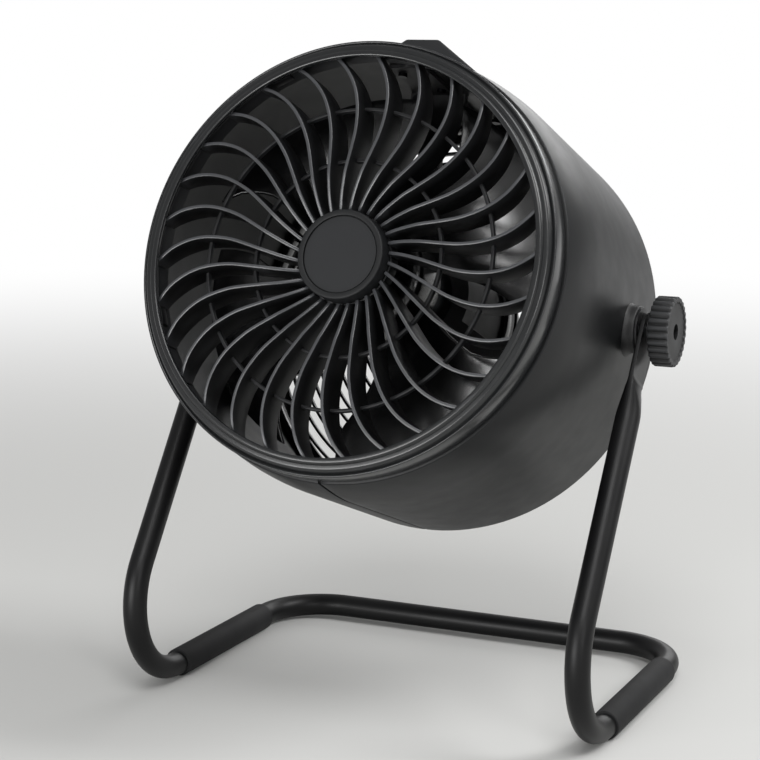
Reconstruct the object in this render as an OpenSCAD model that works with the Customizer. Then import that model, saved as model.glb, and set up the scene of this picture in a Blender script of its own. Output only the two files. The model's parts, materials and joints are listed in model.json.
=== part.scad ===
// Portable camping fan: a drum-shaped rechargeable fan that tilts on a bent tube stand.
// X runs along the two pivots, the fan blows towards -Y, and Z is up from the floor.

/* [Head] */
// Outside diameter of the front bezel
bezel_d = 240; // [225:1:290]
// Width of the bezel's front face
bezel_face = 10; // [8:0.5:12]
// How far the face's inner edge stands in front of its outer edge
bezel_rise = 4.5; // [3:0.5:6]
// Length of the bezel's side band
bezel_band = 15; // [12:0.5:20]
// Wall of the bezel
bezel_wall = 2.2; // [1.6:0.1:3]
// Length of the drum, from the bezel's outer edge to the rear edge
head_len = 180; // [178:1:230]
// How far the drum's front edge stands out past the bezel
drum_step = 1.5; // [0.5:0.1:3]
// How much the drum's radius grows behind its front edge
drum_flare = 4; // [0:0.5:6]
// Length over which the drum's radius grows
flare_len = 30; // [15:1:45]
// Radius of the drum's rounded rear edge
rear_round = 8; // [6:1:14]
// How far the rear grille lies inside the drum's rear edge
rear_recess = 21; // [19:1:30]
// Wall of the drum shells
shell_t = 2.6; // [2:0.1:4]
// Gap between the two drum shells
seam_gap = 1.8; // [0.6:0.1:3]
// Upward tilt of the head when it is stored
tilt = 20; // [0:1:45]

/* [Front grille] */
// Number of curved ribs
rib_count = 30; // [20:1:40]
// Thickness of a rib
rib_t = 1.9; // [1.4:0.1:2.6]
// Depth of the ribs behind the bezel's face
rib_depth = 19; // [12:1:22]
// How far the ribs stand out of the bezel's face
rib_crown = 3; // [0:0.5:4]
// Radius at which the ribs change their curve
rib_turn_r = 68; // [60:1:75]
// Sweep of the ribs inside that radius
sweep_in = 10; // [4:0.5:14]
// Sweep of the ribs outside that radius
sweep_out = 10.7; // [4:0.1:14]
// Angle of the first rib
rib_phase = 6; // [0:0.5:12]
// Radius of the inner ring
ring_in_r = 54.3; // [45:0.1:60]
// Radius of the outer ring
ring_out_r = 83.2; // [76:0.1:95]
// Diameter of the centre cap
cap_d = 49.6; // [44:0.2:56]
// How far the centre cap stands out of the bezel's face
cap_rise = 3; // [0:0.5:5]

/* [Fan and motor] */
// Number of blades
blade_count = 4; // [3:1:5]
// Gap between the blade tips and the drum's neck
tip_gap = 9.2; // [5:0.1:14]
// Depth of the blades' front edge behind the bezel's face
fan_front = 34; // [30:1:40]
// Depth of the blades along the axis
blade_len = 28; // [20:1:34]
// Angle of the first blade's middle
blade_phase = 29; // [0:1:89]
// Angle that a blade turns through between its back edge and its front edge
blade_turn = 57; // [40:1:64]
// Thickness of a blade along the axis
blade_t = 2.4; // [1.8:0.1:3]
// Diameter of the fan's hub
hub_d = 66; // [62:1:80]
// Diameter of the motor
motor_d = 54; // [50:1:56]
// Length of the motor
motor_len = 44; // [40:1:56]
// Diameter of the motor shaft
shaft_d = 8; // [6:0.5:9]

/* [Battery] */
// Diameter of a battery cell
cell_d = 18.4; // [17:0.1:19]
// Length of a battery cell
cell_len = 65; // [60:0.5:66]
// Diameter of the battery case
case_d = 72; // [70:1:84]

/* [Controls] */
// Distance from the bezel's face to the control housing
ctrl_front = 62; // [50:1:66]
// Length of the control housing
ctrl_len = 90; // [86:1:100]
// Width of the control housing's flat top
ctrl_top_w = 20; // [19:0.5:26]
// Height of the control housing over the drum
ctrl_rise = 17.5; // [16:0.5:20]
// Slope of the control housing's sides
ctrl_slope = 36; // [34:1:40]
// Wall of the control housing
ctrl_wall = 2; // [1.6:0.1:2.6]
// Diameter of the push buttons
button_d = 13; // [10:0.5:14]
// Travel of the push buttons
button_travel = 1; // [0.6:0.1:1.2]

/* [Stand] */
// Height of the pivots over the floor
pivot_h = 221; // [200:1:270]
// Depth of the pivots behind the bezel's face
pivot_depth = 124.6; // [110:0.1:150]
// How far the pivots lie under the head's axis
pivot_drop = 4.5; // [0:0.5:10]
// How far each pivot boss stands out of the drum
pivot_reach = 5.7; // [3:0.1:12]
// Diameter of the pivot bosses
boss_d = 27; // [24:0.5:32]
// Outside diameter of the stand's tube
tube_d = 14; // [10:0.5:17]
// Wall of the stand's tube
tube_t = 1.2; // [1:0.1:2]
// Reach of the stand in front of the pivots
front_reach = 152; // [130:1:190]
// Reach of the stand behind the pivots
rear_reach = 96; // [80:1:120]
// Centreline radius of the front bends
front_bend = 34; // [25:1:45]
// Centreline radius of the rear bends
rear_bend = 40; // [25:1:55]
// Thickness of the flattened tube ends
flat_t = 5; // [3.5:0.5:7]
// Width of the flattened tube ends
flat_w = 20; // [18:0.5:24]
// Length of the flattened tube ends below the pivot
flat_len = 30; // [22:1:40]
// Wall of the rubber sleeves
foot_t = 1.4; // [1.2:0.1:2.4]
// Bare tube between a front bend and the rubber sleeve
foot_gap = 26; // [10:1:40]

/* [Knobs] */
// Diameter of the tilt knobs
knob_d = 38.6; // [32:0.2:46]
// Thickness of the tilt knobs
knob_t = 11.5; // [9:0.5:16]
// Number of flutes round a knob
flute_count = 28; // [12:1:36]
// Diameter of the clamping studs
stud_d = 8; // [6:0.5:10]

/* [Hidden] */

$fn = 96;
eps = 0.01;
fit = 0.2;          // clearance between fixed parts that slide together
run_fit = 0.05;     // radial clearance of a turning or sliding fit
move_gap = 0.3;     // clearance between faces that move past each other
seat_fit = 0.02;    // radial clearance of a pressed part on its seat

// Distance from the axis to a chord of a circle of radius r, at a distance x along it
function chord(r, x) = sqrt(r * r - x * x);

// Drum
bezel_r = bezel_d / 2;
bezel_in_r = bezel_r - bezel_face;
bezel_chamfer = 0.85;
neck_r = bezel_r - bezel_wall - fit;
neck_wall = 2.4;
neck_in_r = neck_r - neck_wall;
neck_front = bezel_wall + fit;
bezel_groove_r = bezel_r - 1.7;
bezel_crest_r = bezel_in_r + 1.2;
bezel_outside = [
    [bezel_r, -bezel_band], [bezel_r, -bezel_chamfer], [bezel_r - bezel_chamfer, 0], [bezel_groove_r, 0],
    [(bezel_groove_r + bezel_crest_r) / 2, bezel_rise * 0.72], [bezel_crest_r, bezel_rise],
    [bezel_in_r + 0.3, bezel_rise - 0.3], [bezel_in_r, bezel_rise - 1.1]
];
bezel_inside = [
    [bezel_in_r, bezel_rise - 2.9], [bezel_in_r + 3.6, bezel_rise - 3.2],
    [bezel_r - bezel_wall, -bezel_wall], [bezel_r - bezel_wall, -bezel_band]
];
drum_front = bezel_band + 0.4;
drum_front_r = bezel_r + drum_step;
drum_r = drum_front_r + drum_flare;
drum_in_r = drum_r - shell_t;
shoulder_r = drum_r - rear_round;
rear_front = head_len - rear_recess;
snap_angles = [-86, 4, 94, 184];
snap_w = 6;
snap_l = 2;
snap_depth = 7;

// Strips behind the seams of the two shells
strip_w = 22;
strip_t = 2;
strip_front = drum_front + flare_len + 2;
strip_back = rear_front - 4;
strip_screw_x = strip_w / 4 + 1;
strip_screw_depths = [strip_front + 10, strip_front + 38, strip_back - 12];
strip_bite = 1.6;
strip_head_r = 2.6;
strip_screw_seat = chord(drum_in_r - strip_t, strip_screw_x + strip_head_r);

// Front grille
ring_t = 2;
ring_depth = 3;
ring_front = 6;
grille_r = neck_in_r - 0.3;
grille_ring_t = 1.7;
grille_ring_front = 5;
grille_ring_back = 16;
rib_end_r = grille_r - 0.4;
cap_r = cap_d / 2;
cap_skirt = 8;
cap_border = 3.4;
cap_recess = 1;
core_r = cap_r + 0.8;
core_front = cap_skirt + fit;
core_back = rib_depth - 1;
cap_screw_r = 2;
cap_screw_head_r = 4;
rib_steps = 9;
rib_from_r = core_r - 0.4;
rib_to_r = grille_r - grille_ring_t / 2 - 0.4;
rib_radii = [for (i = [0 : rib_steps]) rib_from_r + (rib_to_r - rib_from_r) * i / rib_steps];
rib_root_r = cap_r + 0.3;
rib_tip_r = rib_end_r - 0.3;
rib_front_line = [
    [rib_root_r, -3.5], [cap_r + 9, -0.6], [ring_in_r - 8, rib_crown - 0.6], [ring_in_r + 8, rib_crown],
    [ring_out_r, rib_crown - 0.3], [rib_end_r - 10, 1.4], [rib_tip_r, -0.4]
];
rib_back_line = [
    [rib_tip_r, -grille_ring_back + 3], [rib_end_r - 16, -rib_depth + 2], [ring_out_r, -rib_depth],
    [rib_root_r, -rib_depth]
];

// Fan and motor
fan_r = neck_in_r - tip_gap;
hub_r = hub_d / 2;
hub_wall = 2.5;
hub_front = fan_front - 1;
hub_len = blade_len + 2;
hub_face = 4;
shaft_r = shaft_d / 2;
hub_boss_r = shaft_r + 4;
motor_r = motor_d / 2;
motor_wall = 1.6;
motor_front = fan_front + 18;
motor_back = motor_front + motor_len;
end_plate_t = 2;
bearing_r = 11;
bearing_w = 7;
bearing_wall = 2;
stator_in_r = motor_r - 10.2;
stator_front = motor_front + 12;
stator_len = 20;
coil_count = 12;
coil_r = 3.2;
rotor_gap = 0.6;
shaft_front = fan_front - 7;
nut_t = 5;
nut_r = 7.5;
blade_slices = 20;
blade_segments = 8;
blade_width = blade_t * blade_turn / blade_len;
blade_root_r = hub_r - 1;

// Motor mount
mount_front = motor_back;
mount_t = 5;
mount_back = mount_front + mount_t;
mount_plate_r = case_d / 2 + 1;
arm_count = 3;
arm_w = 14;
arm_foot_w = 34;
arm_foot_l = 9;
lug_pitch = 24;
lug_w = 8;
lug_len = 9;
screw_r = 1.5;
screw_head_r = 3;
screw_head_t = 2.2;
thread_fit = 0.05;
motor_screw_circle = 20;
case_screw_circle = 30;

// Battery
case_r = case_d / 2;
case_wall = 2.2;
case_front = mount_back;
case_back = head_len + 2;
cell_r = cell_d / 2;
cell_circle = cell_r * 2 + 1.1;
cell_count = 6;
loom_r = 2.2;
loom_depth = mount_back + case_wall + loom_r + 0.5;
loom_clip_w = 8;
loom_clip_l = 5;
loom_clip_radii = [case_r + 14, (case_r + drum_r) / 2, drum_r - 26];
board_t = 1.6;
pack_board_front = loom_depth + loom_r + 0.6;
board_chips = [[-6, -5, 12, 10], [-20, 8, 9, 6], [10, -18, 7, 9]];   // place, then width and length
chip_t = 1.6;
strap_t = 0.4;
cell_front = pack_board_front + board_t + 2 + strap_t;
holder_t = 6;
cover_t = 2.4;
cover_head_t = 1.5;
cover_back = case_back + 8.4;
cover_post_r = 3.2;
cover_post_len = 14;
cover_post_circle = case_r - case_wall - cover_post_r + 0.4;

// Rear grille
rear_bar_t = 1.8;
rear_bar_depth = 3;
rear_back = rear_front + rear_bar_depth;
rear_bar_pitch = 6.15;
rear_hub_t = 3;
rear_hub_r = case_r + fit + rear_hub_t;
rear_rim_r = drum_in_r - fit;
rear_rim_in_r = rear_rim_r - 4.5;
rear_rim_front = rear_front - 1;
rear_rim_back = rear_back + 3;
rear_bars = [for (r = [rear_rim_in_r - 7 : -rear_bar_pitch : rear_hub_r + 3]) r];
rear_spoke_count = 8;
rear_spoke_w = 2.6;
rear_spoke_lap = 0.4;
rear_spoke_l = rear_bar_depth + 2 * rear_spoke_lap;
rear_lug_w = 9;
rear_lug_l = 9.5;
rear_lug_len = 8;
rear_ear_t = 4;
rear_seat = rear_rim_front + rear_ear_t;
rear_screw_count = 6;
rear_screw_circle = drum_in_r - rear_lug_l / 2 - 0.8;

// Controls
ctrl_top = drum_r + ctrl_rise;
ctrl_foot_drop = ctrl_rise + 11;
ctrl_foot_w = ctrl_top_w + 2 * ctrl_foot_drop / tan(ctrl_slope);
ctrl_root = ctrl_top - 2 * ctrl_foot_drop;
ctrl_back = ctrl_front + ctrl_len;
ctrl_board_w = 24;
ctrl_board_v = ctrl_top - 12;
ctrl_board_len = ctrl_len - 12;
ctrl_screw_x = ctrl_top_w / 2 + 10;
ctrl_screw_depths = [ctrl_front + 10, ctrl_back - 10];
ctrl_screw_seat = chord(drum_in_r, ctrl_screw_x + screw_head_r);
ctrl_screw_top = ctrl_top - 2 - (ctrl_screw_x + screw_r - ctrl_top_w / 2) * tan(ctrl_slope);
ctrl_post_r = 4;
board_screw_r = 1;
board_screw_len = 5;
board_head_r = 2;
board_head_t = 1.2;
board_post_r = 2;
board_post_x = ctrl_board_w / 2 - 3;
board_post_depths = [ctrl_back - ctrl_wall - ctrl_board_len + 5, ctrl_back - 14];
button_proud = 1.4;
button_flange = 1;
button_flange_r = 1.2;
button_rest = 0.2;
button_base = ctrl_top - ctrl_wall - button_rest - button_flange;
button_depths = [ctrl_front + 22, ctrl_front + 44];
button_r = button_d / 2;
switch_w = 6;
switch_base = ctrl_board_v + board_t;
switch_top = button_base - button_travel - button_rest;
light_depth = ctrl_front + 64;
light_w = 14;
light_l = 4;
light_proud = 0.1;
port_w = 9;
port_h = 3.3;
port_l = 7;
port_wall = 0.4;

// Stand
leg_x = drum_r + pivot_reach + move_gap + 1 + flat_t / 2;
washer_t = leg_x - flat_t / 2 - move_gap - drum_r - pivot_reach;
washer_r = boss_d / 2 - 1;
tube_r = tube_d / 2;
foot_flat = foot_t - 1;
tube_z = tube_r + foot_t - foot_flat;
leg_rise = pivot_h - tube_z;
leg_len = sqrt(leg_rise * leg_rise + front_reach * front_reach);
leg_angle = atan2(leg_rise, front_reach);
bend_run = front_bend / tan(leg_angle / 2);
flat_blend = 26;
leg_round_end = leg_len - flat_len - flat_blend;
foot_rear_gap = 6;
foot_len = front_reach + rear_reach - rear_bend - foot_rear_gap - bend_run - foot_gap;
bend_plug = 5;
blend_sides = 32;
blend_r = (tube_r + 0.02) / cos(180 / blend_sides);

// Pivots and knobs
stud_r = stud_d / 2;
hole_gap = 0.3;
boss_face = drum_r + pivot_reach;
boss_flange_r = boss_d / 2 + 6;
boss_root = drum_r - 9;
insert_r = stud_r + 2.5;
insert_len = 12;
stud_start = boss_face - insert_len + 1;
knob_face = leg_x + flat_t / 2 + move_gap;
knob_collar = 3;
knob_collar_r = 10;
knob_back = knob_face + knob_collar;
knob_front = knob_back + knob_t;
knob_hole_depth = 5;
knob_hole_r = 4.5;
knob_chamfer = 1;
knob_r = knob_d / 2;
flute_r = 1.3;
stud_end = knob_front - knob_hole_depth - 1;

// The stored box runs from the lower of the two front ends to the higher of the two rear
// ends, and its middle is the origin of Y.
head_front_y = -max([for (p = bezel_outside)
    (pivot_depth + p[1]) * cos(tilt) + (p[0] - pivot_drop) * sin(tilt)]);
stand_front_y = bend_run - front_reach - front_bend - tube_r;
function rear_edge(v, back) = (back - pivot_depth) * cos(tilt) + (v + pivot_drop) * sin(tilt);
head_rear_y = rear_edge(shoulder_r, head_len - rear_round) + rear_round;
stand_rear_y = rear_reach + tube_r;
pivot_y = -(min(head_front_y, stand_front_y) + max(head_rear_y, stand_rear_y)) / 2;

// ---- placing -------------------------------------------------------------------------

// The head is drawn with its axis on Z, its face at Z = 0 and its top towards +Y.
module at_head() {
    translate([0, pivot_y, pivot_h])
        rotate([90 - tilt, 0, 0])
            translate([0, pivot_drop, pivot_depth])
                children();
}

module back(depth) {
    translate([0, 0, -depth]) children();
}

module ring(outer, inner, front, rear) {
    back(rear) difference() {
        cylinder(r = outer, h = rear - front);
        back(1) cylinder(r = inner, h = rear - front + 2);
    }
}

module around(count, phase = 0) {
    for (i = [0 : count - 1])
        rotate(phase + i * 360 / count) children();
}

// A round bar across the head: it leaves the axis towards +Y between two radii.
module radial_bar(r, from, to) {
    translate([0, from, 0]) rotate([-90, 0, 0]) cylinder(r = r, h = to - from);
}

// ---- drum ----------------------------------------------------------------------------

module drum_section(inset, last) {
    r = drum_r - inset;
    intersection() {
        translate([0, -last]) square([drum_r + 1, last - drum_front - inset]);
        union() {
            polygon([
                [0, -drum_front], [drum_front_r - inset, -drum_front],
                [r, -drum_front - flare_len], [r, -head_len + rear_round],
                [0, -head_len + rear_round]
            ]);
            translate([0, -head_len + inset])
                square([shoulder_r, rear_round - inset + 1]);
            translate([shoulder_r, -head_len + rear_round]) circle(r = rear_round - inset);
        }
    }
}

module drum_outer() {
    rotate_extrude() drum_section(0, head_len);
}

module drum_core(inset) {
    rotate_extrude() drum_section(inset, head_len - shell_t);
}

module drum_inner() {
    drum_core(shell_t);
}

module drum_wall() {
    rotate_extrude() difference() {
        union() {
            drum_section(0, head_len);
            translate([0, -drum_front - shell_t])
                square([neck_r, drum_front + shell_t - neck_front]);
        }
        drum_section(shell_t, head_len - shell_t);
        translate([0, -drum_front - shell_t - eps])
            square([neck_in_r, drum_front + shell_t + 1]);
        translate([0, -head_len - 1]) square([shoulder_r, head_len]);
    }
}

module mount_lugs() {
    around(arm_count, 90) for (side = [-1, 1])
        intersection() {
            drum_core(shell_t / 2);
            back(mount_back + lug_len)
                translate([drum_in_r - arm_foot_l, side * lug_pitch / 2 - lug_w / 2, 0])
                    cube([arm_foot_l + 2, lug_w, lug_len]);
        }
}

module mount_screw_spots() {
    around(arm_count, 90) for (side = [-1, 1])
        translate([drum_in_r - arm_foot_l / 2 - 1, side * lug_pitch / 2, 0]) children();
}

module rear_blocks(front, back_end, inset) {
    around(rear_screw_count) intersection() {
        drum_core(inset);
        translate([drum_in_r - rear_lug_l, -rear_lug_w / 2, -back_end])
            cube([rear_lug_l + 2, rear_lug_w, back_end - front]);
    }
}

module rear_screw_spots() {
    around(rear_screw_count) translate([rear_screw_circle, 0, 0]) children();
}

module half_shell(side) {
    color("#26272a") at_head() difference() {
        union() {
            drum_wall();
            mount_lugs();
            rear_blocks(rear_rim_front - fit - rear_lug_len, rear_rim_front - fit, shell_t / 2);
        }
        translate([side > 0 ? -2 * drum_r + seam_gap / 2 : -seam_gap / 2, -drum_r - 1, -head_len - 1])
            cube([2 * drum_r, 2 * drum_r + 2, head_len + 2]);
        strip_screw_spots() radial_bar(screw_r + thread_fit, drum_in_r - 1, drum_in_r + strip_bite + fit);
        mount_screw_spots() back(mount_back + lug_len - 1)
            cylinder(r = screw_r + thread_fit, h = lug_len);
        rear_screw_spots() back(rear_rim_front + 1)
            cylinder(r = screw_r + thread_fit, h = rear_lug_len);
        translate([side * boss_face, -pivot_drop, -pivot_depth]) rotate([0, -side * 90, 0])
            cylinder(r = boss_d / 2 + fit, h = 30);
        ctrl_screw_spots() radial_bar(screw_r + 0.2, drum_r - 15, drum_r + 5);
        back(loom_depth) radial_bar(loom_r + 0.4, drum_r - 8, drum_r + 3);
    }
}

module left_shell() {
    half_shell(-1);
}

module right_shell() {
    half_shell(1);
}

module strip_screw_spots() {
    for (turn = [0, 180], x = [-strip_screw_x, strip_screw_x], d = strip_screw_depths)
        rotate(turn) translate([x, 0, -d]) children();
}

module joint_strips() {
    color("#1b1b1d") at_head() difference() {
        intersection() {
            ring(drum_in_r, drum_in_r - strip_t, strip_front, strip_back);
            translate([-strip_w / 2, -drum_r, -head_len]) cube([strip_w, 2 * drum_r, head_len]);
        }
        translate([-arm_foot_w / 2 - fit, 0, -mount_back - lug_len - fit])
            cube([arm_foot_w + 2 * fit, drum_r, mount_t + lug_len + 2 * fit]);
        back(loom_depth) radial_bar(loom_r + 0.4, drum_r - 8, drum_r + 3);
        strip_screw_spots() radial_bar(screw_r + thread_fit, drum_r - 12, drum_r);
    }
}

module strip_screws() {
    color("#8d8f92") at_head() strip_screw_spots() {
        radial_bar(screw_r, strip_screw_seat - 1, drum_in_r + strip_bite);
        radial_bar(strip_head_r, strip_screw_seat - 2, strip_screw_seat - 0.1);
    }
}

// ---- front ---------------------------------------------------------------------------

module front_bezel() {
    color("#303134") at_head() difference() {
        rotate_extrude() polygon(concat(bezel_outside, bezel_inside));
        for (a = snap_angles) rotate(a)
            translate([bezel_r - 4, -snap_w / 2, -snap_depth - snap_l]) cube([8, snap_w, snap_l]);
    }
}

function rib_angle(r) = r < rib_turn_r
    ? sweep_in * pow((rib_turn_r - r) / (rib_turn_r - cap_r), 1.6)
    : sweep_out * pow((r - rib_turn_r) / (rib_end_r - rib_turn_r), 2.2);
function rib_point(r) = r * [cos(rib_angle(r)), sin(rib_angle(r))];
function unit(v) = v / norm(v);
function rib_side(r, side) = let (d = unit(rib_point(r + 0.5) - rib_point(r - 0.5)))
    rib_point(r) + side * rib_t / 2 * [-d[1], d[0]];

module rib_outline() {
    polygon(concat(
        [for (r = rib_radii) rib_side(r, 1)],
        [for (i = [rib_steps : -1 : 0]) rib_side(rib_radii[i], -1)]
    ));
}

// The ribs' front edges form a shallow crown that dips behind the centre cap.
module rib_section() {
    polygon(concat(rib_front_line, rib_back_line));
}

module front_grille() {
    color("#37383b") at_head() difference() {
        union() {
            ring(grille_r, grille_r - grille_ring_t, grille_ring_front, grille_ring_back);
            for (r = [ring_in_r, ring_out_r])
                ring(r + ring_t / 2, r - ring_t / 2, ring_front, ring_front + ring_depth);
            back(core_back) cylinder(r = core_r, h = core_back - core_front);
            intersection() {
                around(rib_count, rib_phase)
                    back(rib_depth + 1) linear_extrude(rib_depth + rib_crown + 2) rib_outline();
                rotate_extrude() rib_section();
            }
        }
        back(core_back + 1) cylinder(r = cap_screw_r + fit, h = core_back);
        back(core_back + 1) cylinder(r = cap_screw_head_r + 2 * fit, h = 4);
    }
}

module centre_cap() {
    color("#3a3b3e") at_head() difference() {
        back(cap_skirt) cylinder(r = cap_r, h = cap_skirt + cap_rise);
        back(cap_recess - cap_rise) cylinder(r = cap_r - cap_border, h = cap_recess + 1);
        back(cap_skirt + 1) difference() {
            cylinder(r = cap_r - 2, h = cap_skirt + 1);
            cylinder(r = 5, h = cap_skirt + 1);
        }
        back(cap_skirt + 1) cylinder(r = cap_screw_r + thread_fit, h = cap_skirt);
    }
}

module cap_screw() {
    color("#8d8f92") at_head() {
        back(core_back - 0.2) cylinder(r = cap_screw_r, h = core_back - 2);
        back(core_back) cylinder(r = cap_screw_head_r, h = 2.6);
    }
}

// ---- rear grille ---------------------------------------------------------------------

module rear_grille() {
    color("#2b2c2f") at_head() difference() {
        union() {
            ring(rear_rim_r, rear_rim_in_r, rear_rim_front, rear_rim_back);
            ring(rear_hub_r, case_r + fit, rear_rim_front, rear_rim_back);
            for (r = rear_bars) ring(r + rear_bar_t / 2, r - rear_bar_t / 2, rear_front, rear_back);
            around(rear_spoke_count, 180 / rear_spoke_count)
                translate([rear_hub_r - 1, -rear_spoke_w / 2, -rear_back - rear_spoke_lap])
                    cube([rear_rim_in_r - rear_hub_r + 2, rear_spoke_w, rear_spoke_l]);
            intersection() {
                back(rear_rim_back) cylinder(r = rear_rim_r - 1, h = rear_rim_back);
                rear_blocks(rear_rim_front + fit, rear_seat, shell_t);
            }
        }
        rear_screw_spots() {
            back(rear_rim_back) cylinder(r = screw_r + fit, h = rear_rim_back);
            back(rear_rim_back + 1) cylinder(r = screw_head_r, h = rear_rim_back + 1 - rear_seat);
        }
    }
}

module rear_grille_screws() {
    color("#8d8f92") at_head() rear_screw_spots() {
        back(rear_seat + screw_head_t) cylinder(r = screw_head_r - fit, h = screw_head_t);
        back(rear_seat + 0.5) cylinder(r = screw_r, h = rear_ear_t + rear_lug_len - 2);
    }
}

// ---- motor and fan -------------------------------------------------------------------

module motor_mount() {
    color("#3d3f42") at_head() difference() {
        union() {
            back(mount_back) cylinder(r = mount_plate_r, h = mount_t);
            around(arm_count, 90) intersection() {
                drum_inner();
                union() {
                    translate([mount_plate_r - 3, -arm_w / 2, -mount_back])
                        cube([drum_in_r - mount_plate_r + 3, arm_w, mount_t]);
                    translate([drum_in_r - arm_foot_l, -arm_foot_w / 2, -mount_back])
                        cube([arm_foot_l + 1, arm_foot_w, mount_t]);
                }
            }
            for (r = loom_clip_radii)
                translate([-loom_clip_w / 2, r, -loom_depth])
                    cube([loom_clip_w, loom_clip_l, loom_depth - mount_back + 1]);
        }
        back(mount_back + 1) cylinder(r = bearing_r - 3, h = mount_t + 2);
        mount_screw_spots() back(mount_back + 1) cylinder(r = screw_r + 0.2, h = mount_t + 2);
        around(4, 45) translate([motor_screw_circle, 0, 0]) back(mount_back + 1) {
            cylinder(r = screw_r + 0.2, h = mount_t + 2);
            cylinder(r = screw_head_r + 0.2, h = screw_head_t + 1.2);
        }
        around(3, 30) translate([case_screw_circle, 0, 0]) back(mount_back + 1)
            cylinder(r = screw_r + thread_fit, h = mount_t);
        back(loom_depth) radial_bar(loom_r + fit / 2, case_r + 5, drum_in_r - arm_foot_l - 1);
    }
}

module mount_screws() {
    color("#8d8f92") at_head() mount_screw_spots() {
        back(mount_back + lug_len - 2) cylinder(r = screw_r, h = mount_t + lug_len - 2);
        back(mount_front) cylinder(r = screw_head_r, h = screw_head_t);
    }
}

module motor_can() {
    color("#5d6064") at_head() difference() {
        back(motor_back - end_plate_t) cylinder(r = motor_r, h = motor_len - end_plate_t);
        ring(motor_r - motor_wall, bearing_r + bearing_wall, motor_front + 2, motor_back);
        back(motor_back) cylinder(r = bearing_r + bearing_wall + 0.5, h = motor_back - motor_front - 9);
        back(motor_back) cylinder(r = bearing_r + seat_fit, h = motor_back - motor_front - 1.5);
        back(motor_back) cylinder(r = shaft_r + 1, h = motor_len + 2);
    }
}

module motor_end_plate() {
    color("#7a7d81") at_head() difference() {
        union() {
            back(motor_back) cylinder(r = motor_r, h = end_plate_t);
            back(motor_back - end_plate_t + eps) cylinder(r = bearing_r + bearing_wall, h = bearing_w + 0.5);
        }
        back(motor_back - end_plate_t) cylinder(r = bearing_r + seat_fit, h = 20);
        back(motor_back + 1) cylinder(r = bearing_r - 3, h = 20);
        around(4, 45) translate([motor_screw_circle, 0, 0]) back(motor_back + 1)
            cylinder(r = screw_r + thread_fit, h = end_plate_t + 2);
    }
}

module motor_screws() {
    color("#8d8f92") at_head() around(4, 45) translate([motor_screw_circle, 0, 0]) {
        back(mount_back - 0.4) cylinder(r = screw_head_r, h = screw_head_t - 0.4);
        back(mount_back - 1) cylinder(r = screw_r, h = mount_t + end_plate_t);
    }
}

module motor_stator() {
    color("#8a6f4d") at_head() difference() {
        ring(motor_r - motor_wall - seat_fit, stator_in_r, stator_front, stator_front + stator_len);
        around(coil_count) translate([stator_in_r + 4, 0, 0])
            back(stator_front + stator_len + 1) cylinder(r = 1.6, h = stator_len + 2);
    }
}

module motor_windings() {
    color("#b4682f") at_head() around(coil_count, 180 / coil_count)
        translate([stator_in_r + 4.2, 0, 0]) {
            back(stator_front) cylinder(r = coil_r, h = 2.6);
            back(stator_front + stator_len + 2) cylinder(r = coil_r, h = 2);
        }
}

module bearing(front) {
    color("#a9acb0") at_head() ring(bearing_r, shaft_r + seat_fit, front, front + bearing_w);
}

module front_bearing() {
    bearing(motor_front + 1.5);
}

module rear_bearing() {
    bearing(motor_back - end_plate_t - bearing_w);
}

module motor_shaft() {
    color("#b5b8bb") at_head() back(motor_back - end_plate_t - 0.5)
        cylinder(r = shaft_r, h = motor_back - end_plate_t - 0.5 - shaft_front);
}

module rotor_core() {
    color("#6b6e72") at_head()
        ring(stator_in_r - rotor_gap, shaft_r + seat_fit, stator_front, stator_front + stator_len);
}

// One blade is a screw surface: a narrow sector that turns on its way from the back to the front.
module blade() {
    back(fan_front + blade_len) rotate([0, 0, -blade_turn / 2])
        linear_extrude(height = blade_len, twist = -blade_turn, slices = blade_slices,
                       segments = blade_segments, convexity = 4)
            polygon([
                for (corner = [[blade_root_r, -1], [fan_r, -1], [fan_r, 1], [blade_root_r, 1]])
                    corner[0] * [cos(corner[1] * blade_width / 2), sin(corner[1] * blade_width / 2)]
            ]);
}

module fan_blades() {
    color("#151618") at_head() difference() {
        union() {
            difference() {
                union() {
                    back(hub_front + hub_len) cylinder(r = hub_r, h = hub_len);
                    around(blade_count, blade_phase) blade();
                }
                back(hub_front + hub_len + 1) cylinder(r = hub_r - hub_wall, h = hub_len + 1 - hub_face);
            }
            back(motor_front - 2) cylinder(r = hub_boss_r, h = motor_front - 2 - hub_front - hub_face / 2);
        }
        back(motor_front) cylinder(r = shaft_r + seat_fit, h = motor_front);
    }
}

module shaft_nut() {
    color("#9a9da1") at_head() back(hub_front) difference() {
        cylinder(r = nut_r, h = nut_t, $fn = 6);
        back(1) cylinder(r = shaft_r + seat_fit, h = nut_t + 2);
    }
}

// ---- battery -------------------------------------------------------------------------

module battery_case() {
    color("#2a2b2e") at_head() difference() {
        union() {
            difference() {
                back(case_back) cylinder(r = case_r, h = case_back - case_front);
                back(case_back + 1)
                    cylinder(r = case_r - case_wall, h = case_back - case_front - case_wall + 1);
            }
            around(3, 30) translate([cover_post_circle, 0, 0]) back(case_back)
                cylinder(r = cover_post_r, h = cover_post_len);
        }
        around(3, 30) translate([cover_post_circle, 0, 0]) back(case_back + 1)
            cylinder(r = screw_r + thread_fit, h = cover_post_len - 2);
        around(3, 30) translate([case_screw_circle, 0, 0]) back(case_front + case_wall + 1)
            cylinder(r = screw_r + 0.2, h = case_wall + 2);
        back(loom_depth) radial_bar(loom_r + fit, case_r - 6, case_r + 2);
    }
}

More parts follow.
